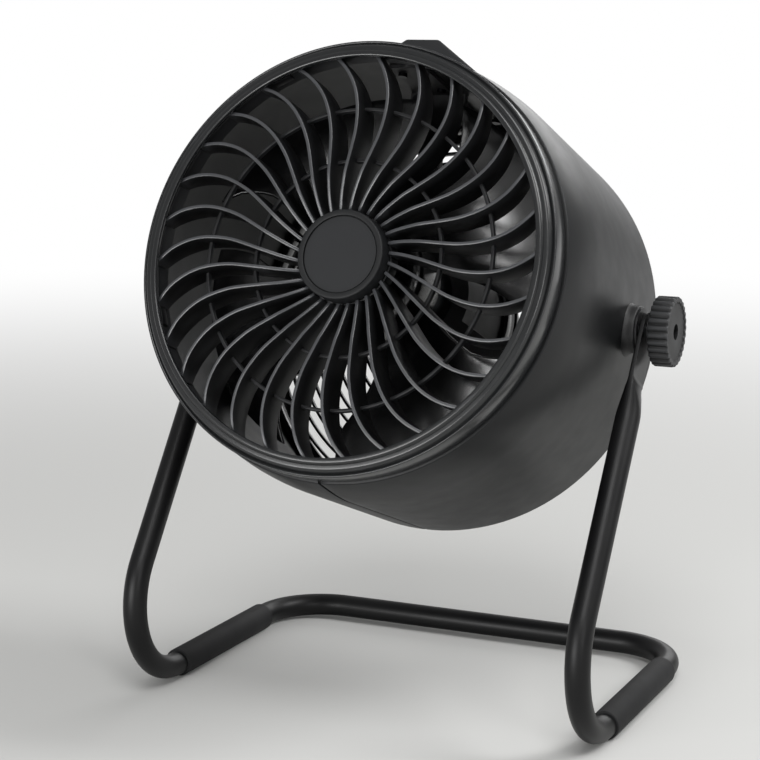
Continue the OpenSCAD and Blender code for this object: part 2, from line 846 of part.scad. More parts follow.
module battery_cover() {
    color("#2f3033") at_head() difference() {
        back(cover_back) cylinder(r = case_r, h = cover_back - case_back);
        back(cover_back - cover_t) cylinder(r = case_r - case_wall, h = cover_back - case_back);
        around(3, 30) translate([cover_post_circle, 0, 0]) back(cover_back + 1)
            cylinder(r = screw_r + 0.2, h = 20);
    }
}

module cover_screws() {
    color("#8d8f92") at_head() around(3, 30) translate([cover_post_circle, 0, 0]) {
        back(cover_back + cover_head_t) cylinder(r = screw_head_r, h = cover_head_t);
        back(cover_back) cylinder(r = screw_r, h = cover_back - case_back + 9);
    }
}

module case_screws() {
    color("#8d8f92") at_head() around(3, 30) translate([case_screw_circle, 0, 0]) {
        back(case_front + case_wall + 1.8) cylinder(r = screw_head_r, h = 1.8);
        back(case_front + case_wall + 1) cylinder(r = screw_r, h = case_wall + mount_t);
    }
}

module cell_holders() {
    color("#e3e0d6") at_head() for (front = [cell_front + 4, cell_front + cell_len - 4 - holder_t])
        difference() {
            back(front + holder_t) cylinder(r = case_r - case_wall - fit, h = holder_t);
            back(front + holder_t + 1) {
                around(cell_count) translate([cell_circle, 0, 0])
                    cylinder(r = cell_r + seat_fit, h = holder_t + 2);
                around(3, 30) translate([cover_post_circle, 0, 0])
                    cylinder(r = cover_post_r + fit, h = holder_t + 2);
            }
        }
}

module battery_cells() {
    color("#3e6fae") at_head() around(cell_count)
        translate([cell_circle, 0, 0]) back(cell_front + cell_len) cylinder(r = cell_r, h = cell_len);
}

module cell_straps() {
    color("#c9cbcd") at_head() for (depth = [cell_front, cell_front + cell_len + strap_t])
        ring(cell_circle + 4, cell_circle - 4, depth - strap_t, depth);
}

module battery_board() {
    color("#2d6b45") at_head() {
        back(pack_board_front + board_t) cylinder(r = case_r - case_wall - fit, h = board_t);
        for (chip = board_chips)
            translate([chip[0], chip[1], -pack_board_front - board_t - chip_t])
                cube([chip[2], chip[3], chip_t + eps]);
    }
}

// ---- controls ------------------------------------------------------------------------

module housing_block(inset) {
    top_x = ctrl_top_w / 2 - inset * tan(ctrl_slope / 2);
    foot_x = ctrl_foot_w / 2 - inset / sin(ctrl_slope);
    foot_y = ctrl_top - ctrl_foot_drop;
    back(ctrl_back - inset) linear_extrude(ctrl_len - 2 * inset) polygon([
        [-top_x, ctrl_top - inset], [top_x, ctrl_top - inset], [foot_x, foot_y],
        [0, ctrl_root], [-foot_x, foot_y]
    ]);
}

module ctrl_screw_spots() {
    for (side = [-1, 1], d = ctrl_screw_depths)
        translate([side * ctrl_screw_x, 0, -d]) children();
}

module board_screw_spots() {
    for (side = [-1, 1], d = board_post_depths)
        translate([side * board_post_x, 0, -d]) children();
}

module control_housing() {
    color("#2d2e31") at_head() difference() {
        union() {
            difference() {
                housing_block(0);
                housing_block(ctrl_wall);
            }
            intersection() {
                housing_block(ctrl_wall / 4);
                union() {
                    ctrl_screw_spots() radial_bar(ctrl_post_r, drum_r - ctrl_foot_drop, ctrl_top);
                    board_screw_spots() radial_bar(board_post_r, switch_base, ctrl_top);
                }
            }
        }
        drum_outer();
        back(head_len) cylinder(r = drum_front_r + 1, h = head_len);
        ctrl_screw_spots() radial_bar(screw_r + thread_fit, drum_r - ctrl_foot_drop, ctrl_screw_top + 0.6);
        board_screw_spots()
            radial_bar(board_screw_r + thread_fit, switch_base - 1, switch_base + board_screw_len);
        for (d = button_depths) back(d)
            radial_bar(button_r + move_gap, ctrl_top - 2 * ctrl_wall, ctrl_top + ctrl_wall);
        translate([-light_w / 2 - fit, ctrl_top - 2 * ctrl_wall, -light_depth - light_l / 2 - fit])
            cube([light_w + 2 * fit, 3 * ctrl_wall, light_l + 2 * fit]);
        translate([-port_w / 2 - fit, switch_base - fit, -ctrl_back - 1])
            cube([port_w + 2 * fit, port_h + 2 * fit, 2 * ctrl_wall]);
    }
}

module control_screws() {
    color("#8d8f92") at_head() {
        ctrl_screw_spots() {
            radial_bar(screw_r, ctrl_screw_seat - 1, ctrl_screw_top);
            radial_bar(screw_head_r, ctrl_screw_seat - 2, ctrl_screw_seat - 0.1);
        }
        board_screw_spots() {
            radial_bar(board_screw_r, ctrl_board_v - 1, switch_base + board_screw_len - 1);
            radial_bar(board_head_r, ctrl_board_v - board_head_t, ctrl_board_v - 0.01);
        }
    }
}

module control_board() {
    color("#2d6b45") at_head() difference() {
        translate([-ctrl_board_w / 2, ctrl_board_v, -ctrl_back + ctrl_wall + fit])
            cube([ctrl_board_w, board_t, ctrl_board_len]);
        board_screw_spots() radial_bar(board_screw_r + fit, ctrl_board_v - 1, switch_base + 1);
    }
}

module button_switches() {
    color("#8d8f92") at_head() for (d = button_depths)
        translate([-switch_w / 2, switch_base, -d - switch_w / 2])
            cube([switch_w, switch_top - switch_base, switch_w]);
}

module button(depth) {
    color("#4a4b4f") at_head() back(depth) {
        radial_bar(button_r, button_base, ctrl_top + button_proud);
        radial_bar(button_r + button_flange_r, button_base, button_base + button_flange);
    }
}

module power_button() {
    button(button_depths[0]);
}

module speed_button() {
    button(button_depths[1]);
}

module charge_lights() {
    color("#d8e6ee") at_head()
        translate([-light_w / 2, switch_base, -light_depth - light_l / 2])
            cube([light_w, ctrl_top + light_proud - switch_base, light_l]);
}

module charging_port() {
    color("#a9acb0") at_head() difference() {
        translate([-port_w / 2, switch_base, -ctrl_back]) cube([port_w, port_h, port_l]);
        translate([-port_w / 2 + port_wall, switch_base + port_wall, -ctrl_back - port_wall])
            cube([port_w - 2 * port_wall, port_h - 2 * port_wall, port_l]);
    }
}

module wire_loom() {
    color("#101011") at_head() back(loom_depth) radial_bar(loom_r, case_r - 5, ctrl_board_v - 0.1);
}

// ---- stand ---------------------------------------------------------------------------

// Draws in the plane of one leg: X runs back along the floor, Y is up, the front corner of
// the tube's centreline is the origin.
module leg_plane(side) {
    translate([side * leg_x, pivot_y - front_reach, tube_z]) rotate([90, 0, 90]) children();
}

// Each stretch of tube starts its circle on the underside, so that the stretches join there.
module tube_profile(start) {
    rotate(start) difference() {
        circle(r = tube_r);
        circle(r = tube_r - tube_t);
    }
}

module tube_run(from, length, start = 0) {
    translate([from, 0, 0]) rotate([0, 90, 0]) linear_extrude(length) tube_profile(start);
}

module tube_bend(radius, turn, start = 0) {
    rotate_extrude(angle = turn) translate([radius, 0]) tube_profile(start);
}

module stand_path() {
    for (side = [-1, 1]) {
        leg_plane(side) {
            rotate(leg_angle) tube_run(bend_run, leg_round_end - bend_run, 90);
            rotate(leg_angle) translate([bend_run - bend_plug / 2, 0, 0]) rotate([0, 90, 0])
                cylinder(r = tube_r - tube_t / 2, h = bend_plug);
            translate([bend_run, front_bend, 0]) rotate(-90) mirror([0, 1, 0])
                tube_bend(front_bend, 180 - leg_angle);
            tube_run(bend_run, front_reach + rear_reach - rear_bend - bend_run, -90);
        }
        translate([side * (leg_x - rear_bend), pivot_y + rear_reach - rear_bend, tube_z])
            rotate(side > 0 ? 0 : 90) tube_bend(rear_bend, 90, -90);
    }
    translate([0, pivot_y + rear_reach, tube_z])
        tube_run(rear_bend - leg_x, 2 * (leg_x - rear_bend));
}

module leg_end() {
    rotate(leg_angle) {
        hull() {
            translate([leg_round_end - 1, 0, 0]) rotate([0, 90, 0])
                cylinder(r = blend_r, h = 1, $fn = blend_sides);
            translate([leg_len - flat_len, -flat_w / 2, -flat_t / 2]) cube([0.5, flat_w, flat_t]);
        }
        translate([leg_len - flat_len, -flat_w / 2, -flat_t / 2]) cube([flat_len, flat_w, flat_t]);
        translate([leg_len, 0, -flat_t / 2]) cylinder(r = flat_w / 2, h = flat_t);
    }
}

module stand_tube() {
    color("#1d1e20") difference() {
        union() {
            stand_path();
            for (side = [-1, 1]) leg_plane(side) leg_end();
        }
        translate([-leg_x - 10, pivot_y, pivot_h]) rotate([0, 90, 0])
            cylinder(r = stud_r + hole_gap, h = 2 * leg_x + 20);
    }
}

module rubber_feet() {
    color("#101113") for (side = [-1, 1])
        leg_plane(side) intersection() {
            translate([bend_run + foot_gap, 0, 0]) rotate([0, 90, 0]) difference() {
                cylinder(r = tube_r + foot_t, h = foot_len);
                back(1) cylinder(r = tube_r, h = foot_len + 2);
            }
            translate([0, -tube_z, -20]) cube([500, 60, 40]);
        }
}

// ---- pivots and knobs ----------------------------------------------------------------

// Draws along one pivot: Z leaves the head towards the knob.
module at_pivot(side) {
    translate([0, pivot_y, pivot_h]) rotate([0, side * 90, 0]) children();
}

module pivot_boss(side) {
    color("#232427") difference() {
        union() {
            at_pivot(side) translate([0, 0, boss_root]) cylinder(r = boss_d / 2, h = boss_face - boss_root);
            intersection() {
                at_head() drum_inner();
                at_pivot(side) translate([0, 0, boss_root])
                    cylinder(r = boss_flange_r, h = boss_face - boss_root);
            }
        }
        at_pivot(side) cylinder(r = insert_r + seat_fit, h = boss_face + 10);
    }
}

module left_pivot_boss() {
    pivot_boss(-1);
}

module right_pivot_boss() {
    pivot_boss(1);
}

module insert(side) {
    color("#b08d4a") at_pivot(side) translate([0, 0, boss_face - insert_len]) difference() {
        cylinder(r = insert_r, h = insert_len);
        back(1) cylinder(r = stud_r + run_fit, h = insert_len + 2);
    }
}

module left_insert() {
    insert(-1);
}

module right_insert() {
    insert(1);
}

module washer(side) {
    color("#dad7cc") at_pivot(side) translate([0, 0, leg_x - flat_t / 2 - washer_t]) difference() {
        cylinder(r = washer_r, h = washer_t);
        back(1) cylinder(r = stud_r + hole_gap, h = washer_t + 2);
    }
}

module left_washer() {
    washer(-1);
}

module right_washer() {
    washer(1);
}

module knob(side) {
    color("#202124") at_pivot(side) difference() {
        rotate_extrude() polygon([
            [0, knob_face], [knob_collar_r, knob_face], [knob_collar_r, knob_back],
            [knob_r - knob_chamfer, knob_back], [knob_r, knob_back + knob_chamfer],
            [knob_r, knob_front - knob_chamfer], [knob_r - knob_chamfer, knob_front], [0, knob_front]
        ]);
        around(flute_count) translate([knob_r + flute_r * 0.3, 0, knob_back - 1])
            cylinder(r = flute_r, h = knob_t + 2, $fn = 24);
        translate([0, 0, knob_face - 1]) cylinder(r = stud_r + seat_fit, h = stud_end - knob_face + 1);
        translate([0, 0, knob_front - knob_hole_depth]) cylinder(r = knob_hole_r, h = knob_hole_depth + 1);
    }
}

module left_knob() {
    knob(-1);
}

module right_knob() {
    knob(1);
}

module stud(side) {
    color("#9a9da1") at_pivot(side) translate([0, 0, stud_start])
        cylinder(r = stud_r, h = stud_end - stud_start);
}

module left_stud() {
    stud(-1);
}

module right_stud() {
    stud(1);
}

stand_tube();
rubber_feet();
left_washer();
right_washer();
left_knob();
right_knob();
left_stud();
right_stud();
left_pivot_boss();
right_pivot_boss();
left_insert();
right_insert();
left_shell();
right_shell();
joint_strips();
strip_screws();
front_bezel();
front_grille();
centre_cap();
cap_screw();
rear_grille();
rear_grille_screws();
motor_mount();
mount_screws();
motor_can();
motor_end_plate();
motor_screws();
motor_stator();
motor_windings();
front_bearing();
rear_bearing();
motor_shaft();
rotor_core();
fan_blades();
shaft_nut();
battery_case();
battery_cover();
cover_screws();
case_screws();
cell_holders();
battery_cells();
cell_straps();
battery_board();
control_housing();
control_screws();
control_board();
button_switches();
power_button();
speed_button();
charge_lights();
charging_port();
wire_loom();
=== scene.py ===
import bmesh
import bpy
import json
from math import atan2, cos, hypot, pi, radians, sin, sqrt, tan
from mathutils import Matrix, Vector


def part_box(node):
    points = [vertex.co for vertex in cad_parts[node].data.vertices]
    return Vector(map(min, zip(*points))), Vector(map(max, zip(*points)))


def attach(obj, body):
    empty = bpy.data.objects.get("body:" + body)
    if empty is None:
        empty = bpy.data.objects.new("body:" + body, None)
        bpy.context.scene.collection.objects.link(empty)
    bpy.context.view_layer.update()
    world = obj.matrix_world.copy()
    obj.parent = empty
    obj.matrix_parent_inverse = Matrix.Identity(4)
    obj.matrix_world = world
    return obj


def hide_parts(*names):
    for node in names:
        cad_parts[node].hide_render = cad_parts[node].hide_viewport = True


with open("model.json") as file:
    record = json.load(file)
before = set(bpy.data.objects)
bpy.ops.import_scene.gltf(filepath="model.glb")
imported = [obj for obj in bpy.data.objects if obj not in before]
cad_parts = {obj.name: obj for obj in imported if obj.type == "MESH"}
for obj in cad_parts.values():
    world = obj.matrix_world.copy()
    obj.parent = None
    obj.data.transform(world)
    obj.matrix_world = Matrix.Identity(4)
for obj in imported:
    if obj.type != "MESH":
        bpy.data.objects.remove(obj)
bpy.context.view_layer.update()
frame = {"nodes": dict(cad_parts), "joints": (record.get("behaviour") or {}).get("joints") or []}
nodes = frame["nodes"]
joints = {joint["name"]: joint for joint in frame["joints"]}
print("frame loaded:", len(nodes), "nodes")

mm = 0.001

# The head is modelled in mm with its axis on Z, its face at Z = 0 and its top towards +Y.
head = {
    "pivotDepth": 124.6,  # pivots behind the bezel's face
    "pivotDrop": 4.5,  # pivots under the head's axis
    "length": 180,
    "bezelRadius": 120,
    "drumRadius": 125.5,
}

pivot = Vector(joints["head_tilt"]["pos_m"])
blow = Vector(joints["blade_spin"]["axis"]).normalized()  # the way the fan blows
across = Vector((1, 0, 0))
headUp = blow.cross(across)
faceCentre = pivot + mm * (head["pivotDrop"] * headUp + head["pivotDepth"] * blow)
toMetres = Matrix.Scale(mm, 4)
headPlace = (
    Matrix.Translation(faceCentre)
    @ Matrix((across, headUp, blow)).transposed().to_4x4()
    @ toMetres
)


def pivotPlace(side):  # Z leaves the head along one pivot, in mm from the middle of the drum
    return Matrix.Translation(pivot) @ Matrix.Rotation(side * pi / 2, 4, "Y") @ toMetres


def hexColour(code):  # sRGB hex to linear RGBA
    parts = [int(code[i : i + 2], 16) / 255 for i in (0, 2, 4)]
    return [c / 12.92 if c <= 0.04045 else ((c + 0.055) / 1.055) ** 2.4 for c in parts] + [1]


def addNode(tree, kind, inputs, **settings):  # a socket among the inputs is linked
    node = tree.nodes.new(kind)
    for name, value in settings.items():
        setattr(node, name, value)
    for name, value in inputs.items():
        if isinstance(value, bpy.types.NodeSocket):
            tree.links.new(value, node.inputs[name])
        else:
            node.inputs[name].default_value = value
    return node


def newMaterial(name, **sockets):
    material = bpy.data.materials.new(name)
    material.use_nodes = True
    shader = material.node_tree.nodes["Principled BSDF"]
    for socket, value in sockets.items():
        shader.inputs[socket.replace("_", " ")].default_value = value
    return material, material.node_tree, shader


plasticLook = {
    "cloud": 45,  # mm, size of the slow changes of tone
    "cloudRange": (0.35, 0.68),
    "edgeRange": (0.512, 0.56),  # pointiness from which an edge takes the pale edge colour: wear, and on the grille a painted highlight
    "edgeWearAndSheen": 0.6,
    "streak": 12,  # mm, size of the changes of gloss
    "streakRange": (0.3, 0.7),
    "roughLess": 0.02,
    "roughMore": 0.03,
    "depth": 0.05,  # mm, of the grain
}


def plastic(name, dark, pale, edge, rough, grain, relief, **sockets):  # grain: its size in mm
    look = plasticLook
    material, tree, shader = newMaterial(name, **sockets)
    place = addNode(tree, "ShaderNodeTexCoord", {}).outputs["Object"]
    inputs = {"Vector": place, "Scale": 1 / (look["cloud"] * mm), "Detail": 3}
    clouds = addNode(tree, "ShaderNodeTexNoise", inputs).outputs[0]
    low, high = look["cloudRange"]
    share = addNode(tree, "ShaderNodeMapRange", {"Value": clouds, "From Min": low, "From Max": high})
    inputs = {0: share.outputs[0], 6: hexColour(dark), 7: hexColour(pale)}
    body = addNode(tree, "ShaderNodeMix", inputs, data_type="RGBA")
    # pale edges by pointiness: wear on most plastics, a painted highlight on the grille
    point = addNode(tree, "ShaderNodeNewGeometry", {}).outputs["Pointiness"]
    low, high = look["edgeRange"]
    inputs = {"Value": point, "From Min": low, "From Max": high, "To Max": look["edgeWearAndSheen"]}
    wearAndSheen = addNode(tree, "ShaderNodeMapRange", inputs)
    inputs = {0: wearAndSheen.outputs[0], 6: body.outputs[2], 7: hexColour(edge)}
    skin = addNode(tree, "ShaderNodeMix", inputs, data_type="RGBA")
    tree.links.new(skin.outputs[2], shader.inputs["Base Color"])
    inputs = {"Vector": place, "Scale": 1 / (look["streak"] * mm), "Detail": 4}
    streaks = addNode(tree, "ShaderNodeTexNoise", inputs).outputs[0]
    low, high = look["streakRange"]
    inputs = {
        "Value": streaks,
        "From Min": low,
        "From Max": high,
        "To Min": rough - look["roughLess"],
        "To Max": rough + look["roughMore"],
    }
    gloss = addNode(tree, "ShaderNodeMapRange", inputs)
    tree.links.new(gloss.outputs[0], shader.inputs["Roughness"])
    inputs = {"Vector": place, "Scale": 1 / (grain * mm), "Detail": 2}
    grains = addNode(tree, "ShaderNodeTexNoise", inputs).outputs[0]
    inputs = {"Height": grains, "Strength": relief, "Distance": look["depth"] * mm}
    tree.links.new(addNode(tree, "ShaderNodeBump", inputs).outputs[0], shader.inputs["Normal"])
    return material


metalLook = {
    "marksRange": (0.3, 0.7),
    "roughMore": 0.12,
    "depth": 0.03,  # mm, of the marks
}


def metal(name, dark, pale, rough, size, stretch, relief=0.15):  # size: width of the marks in mm
    look = metalLook
    material, tree, shader = newMaterial(name, Metallic=1.0)
    place = addNode(tree, "ShaderNodeTexCoord", {}).outputs["Object"]
    drawn = addNode(tree, "ShaderNodeMapping", {"Vector": place, "Scale": stretch})
    inputs = {"Vector": drawn.outputs[0], "Scale": 1 / (size * mm), "Detail": 4}
    marks = addNode(tree, "ShaderNodeTexNoise", inputs).outputs[0]
    low, high = look["marksRange"]
    inputs = {"Value": marks, "From Min": low, "From Max": high}
    share = addNode(tree, "ShaderNodeMapRange", inputs).outputs[0]
    inputs = {0: share, 6: hexColour(dark), 7: hexColour(pale)}
    body = addNode(tree, "ShaderNodeMix", inputs, data_type="RGBA")
    tree.links.new(body.outputs[2], shader.inputs["Base Color"])
    inputs = {"Value": share, "To Min": rough, "To Max": rough + look["roughMore"]}
    gloss = addNode(tree, "ShaderNodeMapRange", inputs)
    tree.links.new(gloss.outputs[0], shader.inputs["Roughness"])
    inputs = {"Height": marks, "Strength": relief, "Distance": look["depth"] * mm}
    tree.links.new(addNode(tree, "ShaderNodeBump", inputs).outputs[0], shader.inputs["Normal"])
    return material


# Injection-moulded ABS off a spark-eroded tool: charcoal with a fine matt grain, which breaks
# highlights into a soft sheen.
texturedAbs = plastic(
    "texturedAbs", "101112", "131415", "2a2b2d", 0.38, 0.7, 0.18, IOR=1.53, Specular_IOR_Level=0.2
)
# The same ABS off a smoother tool: the bezel and the housing shine a little more.
satinAbs = plastic("satinAbs", "18191a", "1b1c1d", "2c2d2f", 0.23, 0.9, 0.07, IOR=1.53)
# The centre cap's ABS: a dead matt near-black.
mattAbs = plastic(
    "mattAbs", "0d0e0f", "101112", "262729", 0.5, 0.9, 0.2, IOR=1.53, Specular_IOR_Level=0.25
)
# Grille ABS: black plastic, made darker than the other ABS as painted shade on the ribs' flanks, with
# hardly a sheen; its pale edge colour is a painted highlight.
grilleAbs = plastic(
    "grilleAbs", "060607", "09090a", "3a3b3d", 0.42, 0.8, 0.12, IOR=1.53, Specular_IOR_Level=0.25
)
# The ribs' thin front edges in a paler copy of the grille ABS: a painted highlight where light falls on
# them.
ribHighlightAbs = plastic("ribHighlightAbs", "2c2d2f", "343537", "4a4b4e", 0.3, 0.8, 0.1, IOR=1.53)
# Polished styrene acrylonitrile: black blades with bright streaks, a little blurred by handling.
glossySan = plastic(
    "glossySan", "060607", "09090a", "1a1a1c", 0.22, 6, 0.05, IOR=1.57, Specular_IOR_Level=1.0
)
# Glass-filled nylon: the motor's bracket and the battery case, dull with pale fibres.
glassNylon = plastic("glassNylon", "0c0c0d", "121213", "2a2a2c", 0.55, 0.5, 0.3, IOR=1.53)
# Soft-touch moulding of the knobs: deep matt black with a velvet edge.
softTouch = plastic(
    "softTouch", "0c0c0d", "101112", "3a3b3d", 0.5, 0.6, 0.2, IOR=1.5, Specular_IOR_Level=0.35
)
# Vulcanised rubber sleeves: matt and slightly dusty, so paler than the paint beside them.
rubber = plastic(
    "rubber", "131314", "1a1a1b", "242425", 0.7, 0.8, 0.3, IOR=1.52, Specular_IOR_Level=0.25
)
# Black acetal of the pivot washers: slippery and very dark. Its near-black also colours the painted
# shade blocks in the bezel's clip slots.
blackAcetal = plastic("blackAcetal", "060607", "0a0a0b", "161618", 0.4, 1.0, 0.1, IOR=1.48)
# Natural nylon cell holders: waxy off-white.
naturalNylon = plastic("naturalNylon", "cfcabb", "dcd8cc", "e8e5dc", 0.42, 1.5, 0.1, IOR=1.53)
# Solder mask over glass fibre: bottle green with a weave just under it.
solderMask = plastic("solderMask", "12452a", "1a5a38", "2c6d49", 0.3, 0.9, 0.15, IOR=1.55)
# Heat-shrink sleeve: glossy blue film pulled tight over the cells.
shrinkSleeve = plastic("shrinkSleeve", "1d4f8c", "255fa3", "4f83c2", 0.22, 3, 0.1, IOR=1.54)
# Satin polycarbonate keys, a shade paler than the housing.
satinKey = plastic("satinKey", "323336", "3a3b3e", "5d5e62", 0.33, 0.6, 0.12, IOR=1.58)
# Silicone sleeve round the wires.
siliconeSleeve = plastic("siliconeSleeve", "121213", "19191a", "242425", 0.5, 1.2, 0.2, IOR=1.43)
# Milky polycarbonate light guide.
milkyGuide = plastic(
    "milkyGuide", "c9d3d8", "dbe3e6", "eef3f5", 0.3, 0.8, 0.05, IOR=1.58, Transmission_Weight=0.25
)

# Zinc-plated steel screws and studs: cool grey with turned streaks.
zincSteel = metal("zincSteel", "8a8c8f", "b4b6b9", 0.28, 0.8, (1, 1, 6))
# Blackened steel of the screws inside the drum: an oiled near-black.
blackenedSteel = metal("blackenedSteel", "1a1a1c", "2b2b2e", 0.34, 0.8, (1, 1, 6))
# Turned brass inserts: warm and finely ringed.
turnedBrass = metal("turnedBrass", "a8823f", "cda95e", 0.24, 0.5, (8, 1, 1))
# Zinc-nickel plated sheet of the motor's can: dark grey with faint spangle.
platedSheet = metal("platedSheet", "3a3c3f", "505356", 0.34, 6, (1, 1, 1))
# Stacked silicon steel of the stator: dark with fine layers across the axis.
siliconSteel = metal("siliconSteel", "3c3a37", "66625c", 0.42, 0.7, (1, 8, 3), 0.4)
# Enamelled copper wire: deep orange with strands.
enamelCopper = metal("enamelCopper", "8e4a1f", "c2743a", 0.26, 0.6, (6, 1, 1), 0.4)
# Ground bearing steel: bright and clean.
groundSteel = metal("groundSteel", "a5a8ab", "c6c8ca", 0.16, 0.4, (1, 1, 8))
# Nickel strip welded over the cells: pale and slightly rumpled.
nickelStrip = metal("nickelStrip", "b3b1aa", "cfccc4", 0.24, 4, (1, 1, 1), 0.3)


coat = {
    "cloud": 30,  # mm
    "cloudRange": (0.35, 0.7),
    "scuff": 7,  # mm
    "scuffRange": (0.68, 0.8),
    "scuffShare": 0.25,
    "roughRange": (0.34, 0.5),
    "peel": 1.6,  # mm, coarser than the real orange peel so that it shows
    "relief": 0.3,
    "depth": 0.06,  # mm
}


# Polyester powder coat on the steel tube: satin black with orange peel, scuffed paler in places.
def powderCoat():
    material, tree, shader = newMaterial("powderCoat", IOR=1.5, Specular_IOR_Level=0.28)
    place = addNode(tree, "ShaderNodeTexCoord", {}).outputs["Object"]
    inputs = {"Vector": place, "Scale": 1 / (coat["cloud"] * mm), "Detail": 3}
    clouds = addNode(tree, "ShaderNodeTexNoise", inputs).outputs[0]
    low, high = coat["cloudRange"]
    share = addNode(tree, "ShaderNodeMapRange", {"Value": clouds, "From Min": low, "From Max": high})
    inputs = {0: share.outputs[0], 6: hexColour("070708"), 7: hexColour("0b0b0c")}
    body = addNode(tree, "ShaderNodeMix", inputs, data_type="RGBA")
    inputs = {"Vector": place, "Scale": 1 / (coat["scuff"] * mm), "Detail": 6}
    rubbed = addNode(tree, "ShaderNodeTexNoise", inputs).outputs[0]
    low, high = coat["scuffRange"]
    inputs = {"Value": rubbed, "From Min": low, "From Max": high, "To Max": coat["scuffShare"]}
    scuffs = addNode(tree, "ShaderNodeMapRange", inputs)
    inputs = {0: scuffs.outputs[0], 6: body.outputs[2], 7: hexColour("1e1e20")}
    skin = addNode(tree, "ShaderNodeMix", inputs, data_type="RGBA")
    tree.links.new(skin.outputs[2], shader.inputs["Base Color"])
    smooth, rough = coat["roughRange"]
    gloss = addNode(tree, "ShaderNodeMapRange", {"Value": clouds, "To Min": smooth, "To Max": rough})
    tree.links.new(gloss.outputs[0], shader.inputs["Roughness"])
    inputs = {"Vector": place, "Scale": 1 / (coat["peel"] * mm), "Detail": 2}
    peel = addNode(tree, "ShaderNodeTexNoise", inputs).outputs[0]
    inputs = {"Height": peel, "Strength": coat["relief"], "Distance": coat["depth"] * mm}
    tree.links.new(addNode(tree, "ShaderNodeBump", inputs).outputs[0], shader.inputs["Normal"])
    return material


blackPowder = powderCoat()
print("materials made")


def wireLoop(bm, points, rounds, closed):  # in XZ; rounds: point to radius and steps
    verts = [bm.verts.new((x, 0, z)) for x, z in points]
    pairs = list(zip(verts, verts[1:])) + ([(verts[-1], verts[0])] if closed else [])
    for pair in pairs:
        bm.edges.new(pair)
    for index, (radius, segments) in rounds.items():
        bmesh.ops.bevel(
            bm,
            geom=[verts[index]],
            offset=radius,
            offset_type="OFFSET",
            segments=segments,
            profile=0.5,
            affect="VERTICES",
            material=-1,
        )


def lathe(points, rounds, closed=True, steps=96):
    bm = bmesh.new()
    wireLoop(bm, points, rounds, closed)
    bmesh.ops.spin(
        bm,
        geom=bm.verts[:] + bm.edges[:],
        cent=(0, 0, 0),
        axis=(0, 0, 1),
        angle=2 * pi,
        steps=steps,
        use_merge=True,
    )
    bmesh.ops.remove_doubles(bm, verts=bm.verts, dist=1e-4)
    return bm


def softenEdges(bm, edges, width, segments=2):
    bmesh.ops.bevel(
        bm,
        geom=edges,
        offset=width,
        offset_type="OFFSET",
        segments=segments,
        profile=0.5,
        affect="EDGES",
        clamp_overlap=True,
        material=-1,
    )


def sharpEdges(bm, angle=40):
    bm.normal_update()
    return [e for e in bm.edges if e.is_manifold and e.calc_face_angle(0) > radians(angle)]


def repeatAround(bm, count):
    bmesh.ops.spin(
        bm,
        geom=bm.verts[:] + bm.edges[:] + bm.faces[:],
        cent=(0, 0, 0),
        axis=(0, 0, 1),
        angle=2 * pi * (count - 1) / count,
        steps=count - 1,
        use_duplicate=True,
    )


def join(bm, *others):
    for other in others:
        scratch = bpy.data.meshes.new("scratch")
        other.to_mesh(scratch)
        other.free()
        bm.from_mesh(scratch)
        bpy.data.meshes.remove(scratch)
    return bm


def move(bm, matrix):
    bmesh.ops.transform(bm, matrix=matrix, verts=bm.verts)
    return bm


creaseAngle = 38  # degrees; edges sharper than this are not shaded smooth


def addPiece(name, bm, place, body, material, stands):
    move(bm, place)
    bmesh.ops.recalc_face_normals(bm, faces=bm.faces)
    mesh = bpy.data.meshes.new(name)
    bm.to_mesh(mesh)
    bm.free()
    mesh.shade_smooth()
    mesh.set_sharp_from_angle(angle=radians(creaseAngle))
    mesh.materials.append(material)
    piece = bpy.data.objects.new(name, mesh)
    bpy.context.scene.collection.objects.link(piece)
    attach(piece, body)
    if stands:
        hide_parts(*stands)
    return piece


def along(table, x):  # straight lines between the points of a table
    for (x0, y0), (x1, y1) in zip(table, table[1:]):
        if x <= x1:
            return y0 + (y1 - y0) * max(0, x - x0) / (x1 - x0)
    return table[-1][1]


drum = {
    "neckOuter": 117.6,
    "neckInner": 115.2,
    "neckFront": 2.4,
    "front": 15.4,
    "frontRadius": 121.5,
    "flareEnd": 45.4,
    "wall": 2.6,
    "rearRound": 7.9,
    "rearOpening": 117.5,
    "seam": 1.8,
    "shoulderRound": 0.7,
    "flareRound": 12,
    "lipRound": 0.6,
    "seamRound": 0.35,
}


